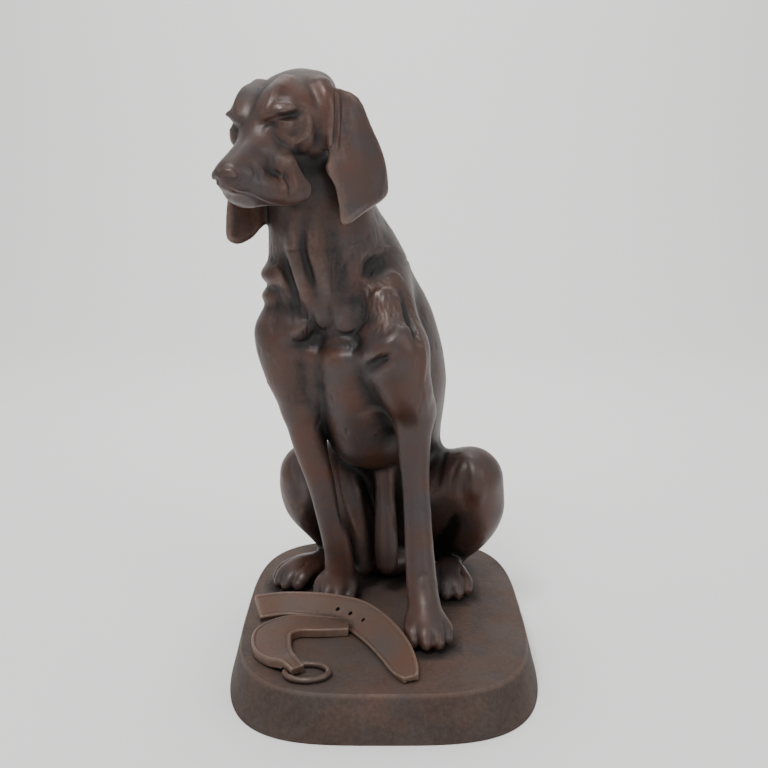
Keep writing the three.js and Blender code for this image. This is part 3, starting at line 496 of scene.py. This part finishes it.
CHEST_MARKS = [
    ([(323, -60, 713), (321, -54, 696), (318, -54, 680)], 4, 2),
    ([(318, -57, 672), (312, -47, 649), (305, -43, 618), (301, -39, 603)], 4, 2),
    ([(319, -36, 713), (320, -24, 696), (315, -18, 684)], 4, 2.5),
    ([(316, -22, 674), (310, -15, 650), (300, -10, 622), (291, -5, 605)], 4, 2.5),
    ([(311, -75, 678), (319, -55, 677), (309, -43, 677)], 2.5, -3),
    ([(318, -26, 680), (297, -4, 676), (285, 18, 682), (249, 39, 694)], 3, -2.5),
    ([(316, -38, 725), (311, -43, 678), (304, -37, 643), (292, -28, 594)], 6, 3.5),
    ([(287, 9, 673), (288, 2, 644), (285, 2, 621)], 3, -1.5),
    ([(281, 20, 666), (282, 10, 640), (281, 6, 617)], 3, -1.2),
    ([(267, 32, 678), (281, 17, 660), (283, 7, 640)], 3, -1.2),
    ([(168, 57, 673), (222, 47, 673), (248, 36, 661), (264, 31, 644)], 4, 2.5),
    ([(241, 37, 650), (261, 33, 634)], 3, -3.5),
    ([(234, 41, 646), (256, 39, 631)], 3, -3),
    ([(226, 45, 649), (255, 43, 628)], 3, 1.5),
    ([(226, 65, 637), (217, 74, 635), (222, 82, 624)], 4, 2),
    ([(275, 56, 586), (270, 55, 605), (262, 64, 614), (251, 81, 611), (252, 93, 592), (282, 101, 567)], 5, 2.5),
    ([(270, 61, 605), (275, 59, 590), (282, 68, 575)], 2.5, -2),
    ([(267, 68, 609), (275, 67, 593), (280, 74, 578)], 2.5, -2),
    ([(261, 75, 610), (271, 76, 595), (276, 82, 581)], 2.5, -2),
    ([(257, 82, 606), (267, 84, 593), (274, 89, 580)], 2.5, -2),
    ([(215, 77, 633), (230, 91, 605), (249, 111, 569), (267, 133, 537), (264, 137, 508), (264, 134, 471),
      (239, 133, 419)], 4, 2.5),
    ([(232, 76, 625), (249, 93, 591), (264, 110, 562), (281, 128, 536), (277, 133, 506), (273, 129, 473)], 5, -2.5),
    ([(298, -37, 598), (288, -40, 570), (277, -38, 552), (272, -28, 547), (277, -15, 554)], 4, -2.5),
    ([(290, -8, 594), (285, -10, 575), (276, -10, 552)], 3, -3),
    ([(275, -8, 549), (271, 5, 543), (271, 19, 545), (275, 32, 556), (276, 46, 571)], 3.5, -3),
    ([(291, 111, 554), (307, 94, 541), (306, 74, 523), (288, 47, 502)], 4, 3),
    ([(293, 113, 548), (306, 97, 534), (297, 74, 515), (285, 49, 496)], 8, 3),
    ([(288, -107, 656), (300, -81, 641), (292, -67, 616), (288, -68, 592)], 5, -3),
    ([(297, -79, 538), (285, -67, 529), (272, -53, 532), (274, -47, 543)], 3, -2.5),
    ([(293, -39, 581), (287, -52, 560), (297, -75, 543)], 4, 1.5),
    ([(298, -113, 515), (296, -100, 498), (289, -87, 483)], 3, 1.5),
    ([(268, -45, 528), (270, -20, 531), (272, 5, 533), (274, 30, 529)], 9, 6),
    ([(268, -49, 523), (268, -50, 491), (257, -53, 456), (247, -56, 412)], 12, 6),
]
OUTER_FOLDS = [
    ([(-75, -134, 902), (-77, -137, 860), (-78, -138, 814)], 4.5, 4),
    ([(-66, -129, 904), (-66, -130, 866), (-66, -130, 828)], 4.5, 4),
    ([(123, 51, 208), (116, 84, 165), (104, 128, 116)], 10, -10),
    ([(-128, 86, 214), (-118, 112, 168), (-104, 150, 120)], 10, -8),
    ([(176, 58, 296), (184, 62, 262), (190, 74, 222)], 12, -5),
    ([(138, 34, 300), (134, 26, 262), (142, 24, 222)], 12, -5),
    ([(158, 44, 310), (168, 34, 280), (166, 30, 246)], 11, 4),
    ([(-142, 88, 300), (-150, 84, 262), (-146, 90, 220)], 11, -5),
]
EAR_MARKS = [
    ([(-70, -131, 905), (-68, -133, 877), (-70, -133, 847), (-74, -129, 824)], 3, -4),
    ([(-75, -135, 906), (-73, -140, 877), (-76, -137, 842), (-79, -127, 818)], 3.5, 2.5),
    ([(-65, -127, 903), (-63, -126, 877), (-66, -130, 847), (-71, -128, 824)], 4, 3),
    ([(-56, -121, 904), (-59, -123, 877), (-60, -124, 848), (-58, -122, 818)], 9, -3),
    ([(-45, -116, 877), (-38, -111, 842), (-29, -105, 800), (-22, -98, 763)], 14, 2.5),
    ([(-45, -116, 897), (-35, -109, 878), (-14, -90, 845), (0, -74, 809), (1, -72, 784), (-3, -78, 762)], 4, 1.5),
    ([(-57, -121, 721), (-43, -114, 730), (-25, -101, 742), (-4, -79, 756)], 3.5, 2),
    ([(-237, -59, 724), (-239, -60, 702), (-223, -49, 691), (-199, -30, 701), (-185, -21, 725)], 3.5, 1.5),
]
LEG_MARKS = [
    ([(32, -96, 438), (30, -64, 370), (35, -75, 301), (37, -93, 235)], 4, -1.5),
    ([(52, -86, 427), (54, -70, 371), (52, -82, 303), (51, -98, 246)], 5, 1.2),
    ([(108, 87, 314), (97, 57, 292), (91, 46, 264)], 6, -4),
    ([(129, 52, 311), (117, 39, 285), (114, 35, 252)], 5, -3),
    ([(146, 59, 319), (151, 30, 289), (145, 29, 254)], 8, 3),
    ([(171, 56, 312), (175, 31, 279), (171, 37, 236)], 6, -2),
    ([(122, 50, 211), (110, 89, 171), (97, 122, 138)], 6, -4),
    ([(-165, 111, 292), (-159, 93, 260), (-150, 93, 223)], 6, -3),
    ([(-141, 88, 300), (-142, 88, 272), (-136, 84, 247)], 5, 2),
    ([(-79, 70, 298), (-72, 58, 250), (-54, 50, 200), (-37, 49, 159)], 6, 2.5),
    ([(-25, 70, 283), (-32, 69, 236), (-25, 60, 186)], 6, -3),
    ([(-2, 43, 296), (5, 39, 245), (18, 39, 204)], 6, -2),
    ([(-98, -1, 328), (-89, -3, 279), (-77, -2, 218), (-70, -3, 167)], 5, 1.5),
    ([(44, -127, 151), (62, -124, 174), (80, -122, 154)], 4, -1.5),
]
# Hair: the middle of each patch, its reach, and how many strokes of the tool it has.
HAIR = [((255, 40, 640), 60, 60), ((268, 76, 592), 46, 70), ((292, -86, 634), 56, 60), ((284, -70, 556), 44, 50),
        ((285, 10, 660), 44, 40), ((240, 96, 560), 60, 60), ((150, 0, 560), 220, 260), ((0, 0, 240), 220, 200)]


def sculpt_trunk(add):
    ribs = Frame(body.at(112, 10, 470), 20, 22)
    add(egg(ribs.origin, (118, 104, 166), ribs.axes), 10)
    add(limb(body.bar((15, 4, 205, 84), (60, 10, 320, 86), (98, 10, 420, 90))), 40)
    add(egg(body.at(-12, 0, 158), (82, 94, 96), body.axes), 40)
    add(limb(body.bar((226, 2, 505, 62), (205, 2, 440, 62), (174, 1, 366, 60))), 50)
    add(limb([(-126, -52, 852, 60), (-112, -30, 785, 68), (-98, -4, 710, 84), (-88, 22, 636, 98)]), 40)
    nape = [(-92, 0, 818, 46), (-68, 36, 730, 45), (-35, 73, 652, 64), *body.bar((120, -2, 560, 78))]
    add(limb(nape), 40)


def sculpt_forelegs(add):
    add(limb(body.bar((165, 28, 635, 36), (215, 56, 588, 44), (255, 84, 522, 46))), 36)
    add(limb(body.bar((150, -52, 646, 38), (200, -83, 600, 46), (248, -102, 536, 46))), 36)
    add(limb([*body.bar((255, 86, 520, 46)), (34, -60, 460, 42), (47, -36, 415, 35)]), 30)
    add(limb([*body.bar((248, -102, 536, 46)), (-155, 2, 486, 43), (-136, 16, 410, 32)]), 30)
    add(limb([(47, -36, 420, 34), (48, -45, 357, 26.5), (51, -60, 301, 22), (54, -75, 247, 22),
              (57, -92, 192, 23), (61, -112, 140, 25), (66, -135, 106, 27)]), 12)
    add(limb([(-136, 16, 408, 32), (-123, 15, 345, 27), (-105, 13, 280, 22.5), (-93, 12, 222, 20),
              (-82, 17, 182, 23), (-76, 22, 145, 24), (-76, 26, 106, 27)]), 12)


def sculpt_haunches(add):
    add(limb([*body.bar((0, 52, 190, 76)), (112, 110, 242, 66), (147, 82, 270, 52)]), 30)
    add(limb([*body.bar((0, -52, 190, 76)), (-92, 168, 238, 64), (-124, 142, 258, 56)]), 30)
    add(limb([(152, 84, 262, 51), (160, 98, 214, 51), (148, 122, 166, 44), (124, 172, 104, 28)]), 24)
    add(limb([(-127, 142, 256, 54), (-129, 146, 214, 52), (-106, 160, 160, 38), (-84, 186, 104, 26)]), 24)
    add(limb([(122, 180, 98, 24), (118, 120, 94, 22), (114, 72, 94, 24)]), 14)
    add(limb([(-86, 196, 98, 24), (-112, 142, 94, 22), (-140, 104, 92, 24)]), 14)


def sculpt_paws(add, swell):
    for place, yaw in PAWS:
        paw = Frame(place, yaw)
        add(egg(paw.at(-6, 0, 2), (46, 33, 26), paw.axes), 16)
        for across, ahead in TOES:
            add(limb(paw.bar((ahead - 30, across * 0.75, 10, 13), (ahead - 2, across, 4, 13.5),
                             (ahead + 12, across * 1.04, -7, 10.5))), 4)
        for across, ahead in TOES:
            add(limb(paw.bar((ahead + 14, across * 1.04, -5, 5.5), (ahead + 18, across * 1.05, -11, 4))), 3)
        for across, ahead in ((-17, 22), (0, 30), (17, 22)):
            swell(stroke([paw.at(ahead - 44, across * 0.7, 25), paw.at(ahead - 20, across, 20),
                          paw.at(ahead + 2, across, 8), paw.at(ahead + 6, across, -10)], 3.2), -4)


def sculpt_head(add, swell):
    at, bar = head.at, head.bar
    add(egg(at(-8, 6, -1), (78, 68, 52), head.axes), 20)
    add(egg(at(40, 0, 10), (42, 56, 40), head.axes), 26)
    add(limb(bar((52, 0, -14, 43), (100, 0, -21, 35), (138, 0, -19, 29), (165, 0, -15, 24))), 22)
    for side in (1, -1):
        brow, out = (26, 10) if side > 0 else (20, 7)
        add(limb(bar((8, 24 * side, 42, 15), (42, 28 * side, 38, 15.5), (70, brow * side, 24, 11))), 10)
        add(egg(at(60, (brow + out) * side, 28), (20, 20, 13), head.axes), 12)
        add(egg(at(6, 46 * side, -26), (46, 30, 42), head.axes), 24)
        add(limb(bar((159, 13 * side, -30, 15), (142, 23 * side, -50, 19), (114, 33 * side, -74, 19),
                     (86, 38 * side, -88, 16))), 14)
        add(limb(bar((94, 34 * side, -40, 20), (88, 38 * side, -80, 16))), 14)
    add(limb(bar((20, 0, -58, 36), (90, 0, -70, 27), (144, 0, -58, 17))), 22)
    add(egg(at(177, 0, -9), (14, 22, 14), head.axes), 6)
    add(egg(at(-28, 44, 14), (28, 27, 24), head.axes), 14)
    for side in (1, -1):
        swell(dab(at(76, 40 * side, 14), (20, 18, 9), head.axes), -3)
        add(egg(at(62, 38 * side, 10), (15, 18, 15), head.axes), 5)
    add(blade(EAR, (-36, -103, 908), (-0.8, -0.6, 0), (0, 0, 1), 5.5, 0.0035), 9)
    add(blade(FAR_EAR, (-200, -24, 876), (-0.8, -0.6, 0), (0, 0, 1), 5.5, -0.001), 9)
    add(limb(bar((-14, 66, 22, 16), (0, 77, 12, 12), (14, 78, -12, 10), (24, 74, -44, 8))), 10)
    add(egg(at(66, -43, -4), (17, 14, 16), head.axes), 8)


def carve_folds(swell):
    for side in (1, -1):
        for points, width, height in FACE_FOLDS + FACE_MARKS:
            share = 1 if side > 0 or points in SHARED else 0.4
            swell(stroke([head.at(f, l * side, u) for f, l, u in points], width), height * share)
        swell(dab(head.at(190, 12 * side, -12), (7, 6, 5), head.axes), -6)
        swell(dab(head.at(188, 8 * side, -9), 4, head.axes), -5)
        swell(stroke([head.at(186, 10 * side, -10), head.at(182, 17 * side, -13), head.at(176, 20 * side, -19)], 2.4), -4)
        for f, l, u in WHISKER_PITS:
            swell(dab(head.at(f, l * side, u), 2.2), -1.4)
    swell(dab(head.at(-8, 0, 52), (46, 46, 20), head.axes), -2)
    for points, width, height in FACE_MIDLINE:
        swell(stroke([head.at(*p) for p in points], width), height)
    for points, width, height in CHEST_FOLDS + CHEST_MARKS:
        swell(stroke([body.at(*p) for p in points], width), height)
    for middle, reach, height in CHEST_MUSCLES:
        swell(dab(body.at(*middle), reach, body.axes), height)


def sculpt_lap(add, swell):
    add(limb([(-80, 105, 300, 34), (-62, 92, 230, 38), (-46, 80, 165, 32), (-40, 74, 120, 24)]), 16)
    add(limb([(2, 70, 330, 24), (2, 58, 260, 17), (3, 50, 200, 19), (4, 46, 158, 20), (5, 46, 128, 19)]), 8)
    for points, width, height in OUTER_FOLDS + EAR_MARKS + LEG_MARKS:
        swell(stroke(points, width), height)
    add(egg(body.at(45, 0, 100), (60, 60, 34), body.axes), 20)
    add(limb([*body.bar((-80, 0, 140, 22)), (52, 292, 96, 19), (-10, 303, 88, 15), (-70, 290, 84, 11),
              (-112, 262, 82, 8)]), 14)


def comb_hair(clay):
    """Short strokes of a pointed tool along the lie of the coat, which runs down and back."""
    step = 3
    coarse = clay.field[::step, ::step, ::step]
    near = np.argwhere(np.abs(coarse) < clay.step * 0.8) * clay.step * step + clay.low
    for middle, reach, number in HAIR:
        away = np.linalg.norm(near - body.at(*middle), axis=1)
        spots = near[(away < reach) & (near[:, 2] > 190)]
        spots = spots[chance.permutation(len(spots))[:number]]
        for p, n in zip(spots, clay.normals(spots)):
            lie = np.array([0.1, 0.15, -1.0]) + chance.normal(0, 0.16, 3)
            lie = unit(lie - n * (lie @ n))
            side = np.cross(n, lie) * chance.normal(0, 1.6)
            half = chance.uniform(7, 13)
            clay.swell(stroke([p - lie * half, p + side, p + lie * half], 1.9), -chance.uniform(0.5, 1.3))


def press_lumps(clay):
    """The slight unevenness that fingers and files leave all over."""
    step = 4
    near = np.argwhere(np.abs(clay.field[::step, ::step, ::step]) < clay.step) * clay.step * step + clay.low
    near = near[chance.permutation(len(near))[:1800]]
    for p in near:
        clay.swell(dab(p, chance.uniform(5, 11)), chance.normal(0, 0.45))


def make_hound():
    clay = Clay((-252, -248, 64), (222, 330, 952), HOUND_GRID)
    sculpt_trunk(clay.add)
    sculpt_forelegs(clay.add)
    sculpt_haunches(clay.add)
    sculpt_paws(clay.add, clay.swell)
    sculpt_head(clay.add, clay.swell)
    carve_folds(clay.swell)
    sculpt_lap(clay.add, clay.swell)
    comb_hair(clay)
    press_lumps(clay)
    clay.level_base(FLOOR)
    hound = piece("hound_casting", *main_body(*clay.skin()), "hound", "cast_iron")
    thin(hound, HOUND_FACES)
    at = places(hound)
    thin_ear = np.clip(-clay.hollows(at, 22) - 0.25, 0, 0.25)
    note(hound, "sunk", np.clip(clay.hollows(at, 6) * 2.2 + 0.15 + thin_ear * 2.4, -1, 1))
    # Darker in the broad hollows between the limbs and under the head: patina, with painted shade over these recesses.
    note(hound, "broad_shade_and_patina", np.clip(clay.hollows(at, 22) * 1.6 + 0.15, -0.25, 1))
    return hound, clay


# ---- the collar: the end with the holes leans against the coiled end, which narrows to a tongue in the ring
COLLAR_TOP = [(-206, -55, 88, 23, 33), (-165, -42, 88, 23, 33), (-118, -46, 88, 24, 34), (-80, -64, 89, 26, 36),
              (-42, -94, 89, 28, 38), (-8, -148, 87, 28, 32), (16, -204, 83, 26, 26), (30, -254, 79, 21, 18),
              (38, -283, 77, 12, 8)]
COLLAR_COIL = [(-58, -108, 77, 20, 0), (-100, -106, 78, 28, 0), (-145, -106, 78, 31, 0), (-173, -136, 78, 31, 0),
               (-172, -185, 78, 30, 0), (-158, -220, 79, 23, 0), (-141, -246, 84, 14, 0), (-128, -262, 80, 12, 0)]
HOLE_STATIONS = [3.15, 3.7, 4.3]
COLLAR_HOLE = 4.2


def make_collar():
    clay = Clay((-240, -310, 66), (60, -10, 118), COLLAR_GRID)
    clay.add(strap(COLLAR_COIL, 6.5, 1), 2)
    clay.add(strap(COLLAR_TOP, 4.5, 1.2), 3)
    stations = np.array(COLLAR_TOP, float)
    for station in HOLE_STATIONS:
        i = int(station)
        a, b = stations[i], stations[i + 1]
        p = a + (station - i) * (b - a)
        along = unit((b - a)[:3])
        lean = math.radians(p[4])
        face = np.array([along[1] * math.sin(lean), -along[0] * math.sin(lean), math.cos(lean)])
        clay.cut(limb([[*(p[:3] + face * k), COLLAR_HOLE] for k in (-8, 8)]), 0.5)
        clay.swell(dab(p[:3] + face * 5, 7), 0.8)
    clay.cut(torus((*RING["centre"], FLOOR + RING["bar"]), RING["across"], RING["along"], RING["bar"] + 5 * GAP), 0.5)
    clay.level_base(FLOOR)
    collar = piece("collar_casting", *main_body(*clay.skin()), "collar_strap", "collar_iron")
    thin(collar, COLLAR_FACES)
    at = places(collar)
    note(collar, "sunk", np.clip(clay.hollows(at, 4) * 2 + 0.45, -1, 1))
    # Darker in the wider hollows, where the strap lies on its coil: patina, with painted shade in these crevices.
    note(collar, "broad_shade_and_patina", np.clip(clay.hollows(at, 12) * 2 + 0.6, -0.2, 1))
    return collar


# ---- the ring and the plinth: closed stacks of rings of points
def loft(rings, closed):
    rings = np.asarray(rings)
    count, n = rings.shape[:2]
    points = rings.reshape(-1, 3)
    r, i = np.meshgrid(np.arange(count if closed else count - 1), np.arange(n), indexing="ij")
    a, b = r * n + i, r * n + (i + 1) % n
    c, d = (a + n) % len(points), (b + n) % len(points)
    return points, np.stack([a, b, d, c], -1).reshape(-1, 4)


def make_ring():
    rings = []
    for turn in np.arange(96) * 2 * math.pi / 96:
        around = -np.arange(20) * 2 * math.pi / 20
        bar = RING["bar"] - 0.35 + 0.3 * math.sin(5 * turn + 1) * math.cos(3 * turn)
        grow, rise = bar * np.cos(around), bar * np.sin(around)
        rings.append(np.stack([RING["centre"][0] + (RING["across"] + grow) * math.cos(turn),
                               RING["centre"][1] + (RING["along"] + grow) * math.sin(turn),
                               FLOOR + RING["bar"] + rise], 1))
    ring = piece("ring_casting", *loft(rings, True), "collar_ring", "ring_iron")
    ring.data.shade_smooth()
    at = places(ring)
    # Painted light: darker towards the underside as painted shade, paler towards the top as a painted highlight.
    note(ring, "sunk", (FLOOR + RING["bar"] - at[:, 2]) / RING["bar"] * 0.5)
    note(ring, "broad_shade_and_patina", np.zeros(len(at)))
    return ring


def plinth_outline(steps, margin):
    turn = np.arange(steps) * 2 * math.pi / steps
    a, b, power = PLINTH["width"] / 2 + margin, PLINTH["depth"] / 2 + margin, PLINTH["squareness"]
    reach = (np.abs(np.cos(turn) / a) ** power + np.abs(np.sin(turn) / b) ** power) ** (-1 / power)
    return np.stack([reach * np.cos(turn), reach * np.sin(turn)], 1)


def lumps(points, size, seed):
    """Smooth noise from -1 to 1 with lumps of a size in mm."""
    table = np.random.default_rng(seed).uniform(-1, 1, (32, 32, 32))
    q = np.asarray(points) / size + 100
    i = np.floor(q).astype(int)
    f = q - i
    f = f * f * (3 - 2 * f)
    total = np.zeros(len(q))
    for corner in np.ndindex(2, 2, 2):
        total += np.prod(np.where(corner, f, 1 - f), 1) * table[tuple(((i + corner) % 32).T)]
    return total


def make_plinth(clay):
    steps = 288
    height, batter, arris = PLINTH["height"], PLINTH["batter"], PLINTH["arris"]
    levels = [(batter - 1.5, 0), (batter - 0.4, 0.7), (batter - 0.2, 2)]
    levels += [(batter * (1 - t), t * (height - arris)) for t in np.linspace(0.05, 0.98, 22)]
    levels += [(-0.3, height - arris), (-0.9, height - 0.9), (-2.2, height - 0.2), (-4, height)]
    rings = [np.column_stack([plinth_outline(steps, m), np.full(steps, z)]) for m, z in levels]
    edge = plinth_outline(steps, -4)
    rings += [np.column_stack([edge * s, np.full(steps, height)]) for s in np.linspace(0.985, 0.012, 84)]
    count = len(rings)
    points, faces = loft(rings, False)
    points = np.vstack([points, [(0, 0, 0), (0, 0, height)]])
    # fans close the underside and the middle of the top; a fan's face repeats its hub, so it's made of triangles
    i = np.arange(steps)
    last = (count - 1) * steps
    under = np.stack([np.full(steps, count * steps), (i + 1) % steps, i], 1)
    over = np.stack([np.full(steps, count * steps + 1), last + i, last + (i + 1) % steps], 1)
    faces = np.concatenate([faces[:, [0, 1, 2]], faces[:, [0, 2, 3]], under, over])
    flat = (points[:, 2] > height - 0.1)
    wear = lumps(points, 46, 3) * 0.5 + lumps(points, 17, 4) * 0.3 + lumps(points, 7, 5) * 0.15
    points[:, 2] -= np.where(flat, 0.55 + 0.55 * wear, 0)
    side = (points[:, 2] > 1) & (points[:, 2] < height - 0.5) & ~flat
    outward = points[:, :2] / np.maximum(np.linalg.norm(points[:, :2], axis=1, keepdims=True), 1)
    points[:, :2] -= np.where(side, 0.6 + 0.6 * wear, 0)[:, None] * outward
    plinth = piece("plinth_casting", points, faces, "plinth", "plinth_iron")
    plinth.data.shade_smooth()
    at = places(plinth)
    # Painted shade: the top is darkened around the hound's base, strongly within about ten mm of it and faintly out to
    # about 40 mm. Apart from that, the tone is mottled by the wear lumps, worn paler along the top arris, and darker
    # on the sides than on the top.
    probe = at.copy()
    probe[:, 2] = np.maximum(probe[:, 2], FLOOR + 8)
    beside = np.where(flat, clay.sample(probe), FAR)
    rim = np.exp(-((at[:, 2] - height + 2) / 3) ** 2) * ~flat
    note(plinth, "sunk", np.exp(-np.maximum(beside, 0) / 9) * 0.8 + wear * 0.25 - rim * 0.5 + side * 0.3)
    note(plinth, "broad_shade_and_patina", np.exp(-np.maximum(beside, 0) / 40) * 0.5)
    return plinth


# ---- finishes
def colour(code):
    """An sRGB hex value as a linear colour."""
    parts = [int(code[k:k + 2], 16) / 255 for k in (1, 3, 5)]
    return (*(c / 12.92 if c <= 0.04045 else ((c + 0.055) / 1.055) ** 2.4 for c in parts), 1.0)


def per_metre(size):
    """A pattern's scale from the size of its features in mm."""
    return 1000.0 / size


def add_node(tree, kind, inputs=None, **settings):
    new = tree.nodes.new(kind)
    for key, value in settings.items():
        setattr(new, key, value)
    for key, value in (inputs or {}).items():
        if isinstance(value, bpy.types.NodeSocket):
            tree.links.new(value, new.inputs[key])
        else:
            new.inputs[key].default_value = value
    return new


def cast_iron(name, tones, metallic, roughness, pit, pit_depth, coat):
    """Sand-cast iron under an oiled brown patina: dark in the hollows, as patina and in the broad ones as painted
    shade, paler on the ridges, as wear and as a painted highlight, in patches of red-brown and grey-violet, with the
    fine pits of the sand."""
    finish = bpy.data.materials.new(name)
    finish.use_nodes = True
    tree = finish.node_tree
    tree.nodes.clear()
    where = add_node(tree, "ShaderNodeTexCoord").outputs["Object"]
    sunk = add_node(tree, "ShaderNodeAttribute", attribute_name="sunk", attribute_type="GEOMETRY").outputs["Fac"]
    broad_shade_and_patina = add_node(tree, "ShaderNodeAttribute", attribute_name="broad_shade_and_patina", attribute_type="GEOMETRY").outputs["Fac"]
    patch = add_node(tree, "ShaderNodeTexNoise", {"Vector": where, "Scale": per_metre(90), "Detail": 5.0,
                                                 "Roughness": 0.62, "Distortion": 0.4}).outputs["Fac"]
    patch = add_node(tree, "ShaderNodeMapRange", {"Value": patch, "From Min": 0.42, "From Max": 0.64}).outputs[0]
    cool = add_node(tree, "ShaderNodeVectorMath", {0: where, 1: (0.31, 0.17, 0.23)}, operation="ADD").outputs[0]
    cool = add_node(tree, "ShaderNodeTexNoise", {"Vector": cool, "Scale": per_metre(55), "Detail": 4.0}).outputs["Fac"]
    cool = add_node(tree, "ShaderNodeMapRange", {"Value": cool, "From Min": 0.46, "From Max": 0.66}).outputs[0]
    grain = add_node(tree, "ShaderNodeTexNoise", {"Vector": where, "Scale": per_metre(7), "Detail": 6.0,
                                                 "Roughness": 0.7}).outputs["Fac"]
    shade = add_node(tree, "ShaderNodeMix", {"Factor": patch, "A": colour(tones["body"]), "B": colour(tones["red"])},
                     data_type="RGBA").outputs["Result"]
    shade = add_node(tree, "ShaderNodeMix", {"Factor": cool, "A": shade, "B": colour(tones["cool"])},
                     data_type="RGBA").outputs["Result"]
    uneven = add_node(tree, "ShaderNodeMath", {0: grain, 1: 0.5}, operation="SUBTRACT").outputs[0]
    level = add_node(tree, "ShaderNodeMath", {0: uneven, 1: 0.9, 2: sunk}, operation="MULTIPLY_ADD").outputs[0]
    # Toward the near-black tone: patina in the folds, and painted shade in the broad hollows, around the hound's base
    # on the plinth and under the ring.
    hollow = add_node(tree, "ShaderNodeMath", {0: level, 1: broad_shade_and_patina}, operation="ADD").outputs[0]
    hollow = add_node(tree, "ShaderNodeMapRange", {"Value": hollow, "From Min": 0.05, "From Max": 0.85}).outputs[0]
    shade = add_node(tree, "ShaderNodeMix", {"Factor": hollow, "A": shade, "B": colour(tones["sunk"])},
                     data_type="RGBA").outputs["Result"]
    # Toward the paler tone on the ridges and on the ring's top: wear, and a painted highlight.
    rubbed_and_highlight = add_node(tree, "ShaderNodeMapRange", {"Value": level, "From Min": -0.18, "From Max": -0.85}).outputs[0]
    shade = add_node(tree, "ShaderNodeMix", {"Factor": rubbed_and_highlight, "A": shade, "B": colour(tones["rubbed_and_highlight"])},
                     data_type="RGBA").outputs["Result"]
    rough = add_node(tree, "ShaderNodeMapRange", {"Value": level, "From Min": -0.7, "From Max": 0.6,
                                                 "To Min": roughness[0], "To Max": roughness[1]}).outputs[0]
    pits = add_node(tree, "ShaderNodeTexNoise", {"Vector": where, "Scale": per_metre(pit), "Detail": 3.0,
                                                "Roughness": 0.6}).outputs["Fac"]
    relief = add_node(tree, "ShaderNodeBump", {"Height": pits, "Strength": 0.6, "Distance": pit_depth * MM})
    surface = add_node(tree, "ShaderNodeBsdfPrincipled", {"Base Color": shade, "Roughness": rough,
                                                          "Metallic": metallic, "Normal": relief.outputs[0],
                                                          "Coat Weight": coat, "Coat Roughness": 0.35})
    add_node(tree, "ShaderNodeOutputMaterial", {"Surface": surface.outputs[0]})
    return finish


hound, clay = make_hound()
collar = make_collar()
ring = make_ring()
plinth = make_plinth(clay)

# Chased and burnished with oil: satin, paler on the ridges where hands and cloths reach and as a painted highlight,
# near black in the folds, with painted shade in the broad hollows.
hound.data.materials.append(cast_iron(
    "burnished_cast_iron", dict(body="#3c2c26", red="#46291e", cool="#372e2e", sunk="#120c0a", rubbed_and_highlight="#5f4c43"),
    metallic=0.3, roughness=(0.34, 0.56), pit=2.6, pit_depth=0.5, coat=0.15))
# As cast and dusty: flat brown with little shine.
plinth.data.materials.append(cast_iron(
    "as_cast_dusty_iron", dict(body="#4b3c34", red="#503a30", cool="#483d39", sunk="#231915", rubbed_and_highlight="#66574d"),
    metallic=0.15, roughness=(0.6, 0.85), pit=2.2, pit_depth=0.9, coat=0.0))
# Finished like strap leather: smoother than the plinth and a little redder.
collar.data.materials.append(cast_iron(
    "strap_cast_iron", dict(body="#554136", red="#583d30", cool="#4e413a", sunk="#1f1612", rubbed_and_highlight="#6f5b4e"),
    metallic=0.2, roughness=(0.5, 0.75), pit=2.4, pit_depth=0.7, coat=0.05))
ring.data.materials.append(cast_iron(
    "ring_cast_iron", dict(body="#4c3a30", red="#50352a", cool="#453a35", sunk="#1d1410", rubbed_and_highlight="#6e5b4f"),
    metallic=0.3, roughness=(0.42, 0.68), pit=2.0, pit_depth=0.5, coat=0.05))


# ---- floor, light and camera
def make_backdrop():
    """A pale floor that turns up into a pale wall far behind."""
    profile = [(-4.0, 0.0), (3.0, 0.0)]
    profile += [(3.0 + 1.5 * math.sin(a), 1.5 - 1.5 * math.cos(a)) for a in np.linspace(0.1, math.pi / 2, 14)]
    profile += [(4.5, 6.0)]
    points = [(x, y, z) for y, z in profile for x in (-7.0, 7.0)]
    faces = [(2 * i, 2 * i + 1, 2 * i + 3, 2 * i + 2) for i in range(len(profile) - 1)]
    mesh = bpy.data.meshes.new("floor")
    mesh.from_pydata(points, [], faces)
    mesh.shade_smooth()
    floor = bpy.data.objects.new("floor", mesh)
    bpy.context.scene.collection.objects.link(floor)
    paper = bpy.data.materials.new("pale_paper")
    paper.use_nodes = True
    surface = paper.node_tree.nodes["Principled BSDF"]
    surface.inputs["Base Color"].default_value = colour("#f4f3f2")
    surface.inputs["Roughness"].default_value = 0.9
    mesh.materials.append(paper)


def softbox(name, place, target, size, power):
    light = bpy.data.lights.new(name, "AREA")
    light.shape, light.size, light.energy = "SQUARE", size, power
    obj = bpy.data.objects.new(name, light)
    bpy.context.scene.collection.objects.link(obj)
    obj.location = place
    aim = unit(np.subtract(place, target))
    obj.rotation_euler = (math.acos(aim[2]), 0, math.atan2(aim[1], aim[0]) + math.pi / 2)
    return obj


make_backdrop()
softbox("key", (-0.7, -1.7, 2.9), (0, 0, 0.6), 0.9, 70)
softbox("fill", (2.0, -1.7, 1.7), (0, 0, 0.5), 1.4, 15)
softbox("wall", (0, 1.4, 3.2), (0, 3.6, 1.2), 2.0, 90)
world = bpy.data.worlds.new("studio")
world.use_nodes = True
world.node_tree.nodes["Background"].inputs["Color"].default_value = (1, 1, 1, 1)
world.node_tree.nodes["Background"].inputs["Strength"].default_value = 0.72
bpy.context.scene.world = world

lens = bpy.data.cameras.new("camera")
lens.sensor_width, lens.lens = 36, 51.77
camera = bpy.data.objects.new("camera", lens)
bpy.context.scene.collection.objects.link(camera)
camera.location = (0, -1.7605, 0.8193)
camera.rotation_euler = (math.radians(90 - 11.76), 0, 0)
bpy.context.scene.camera = camera
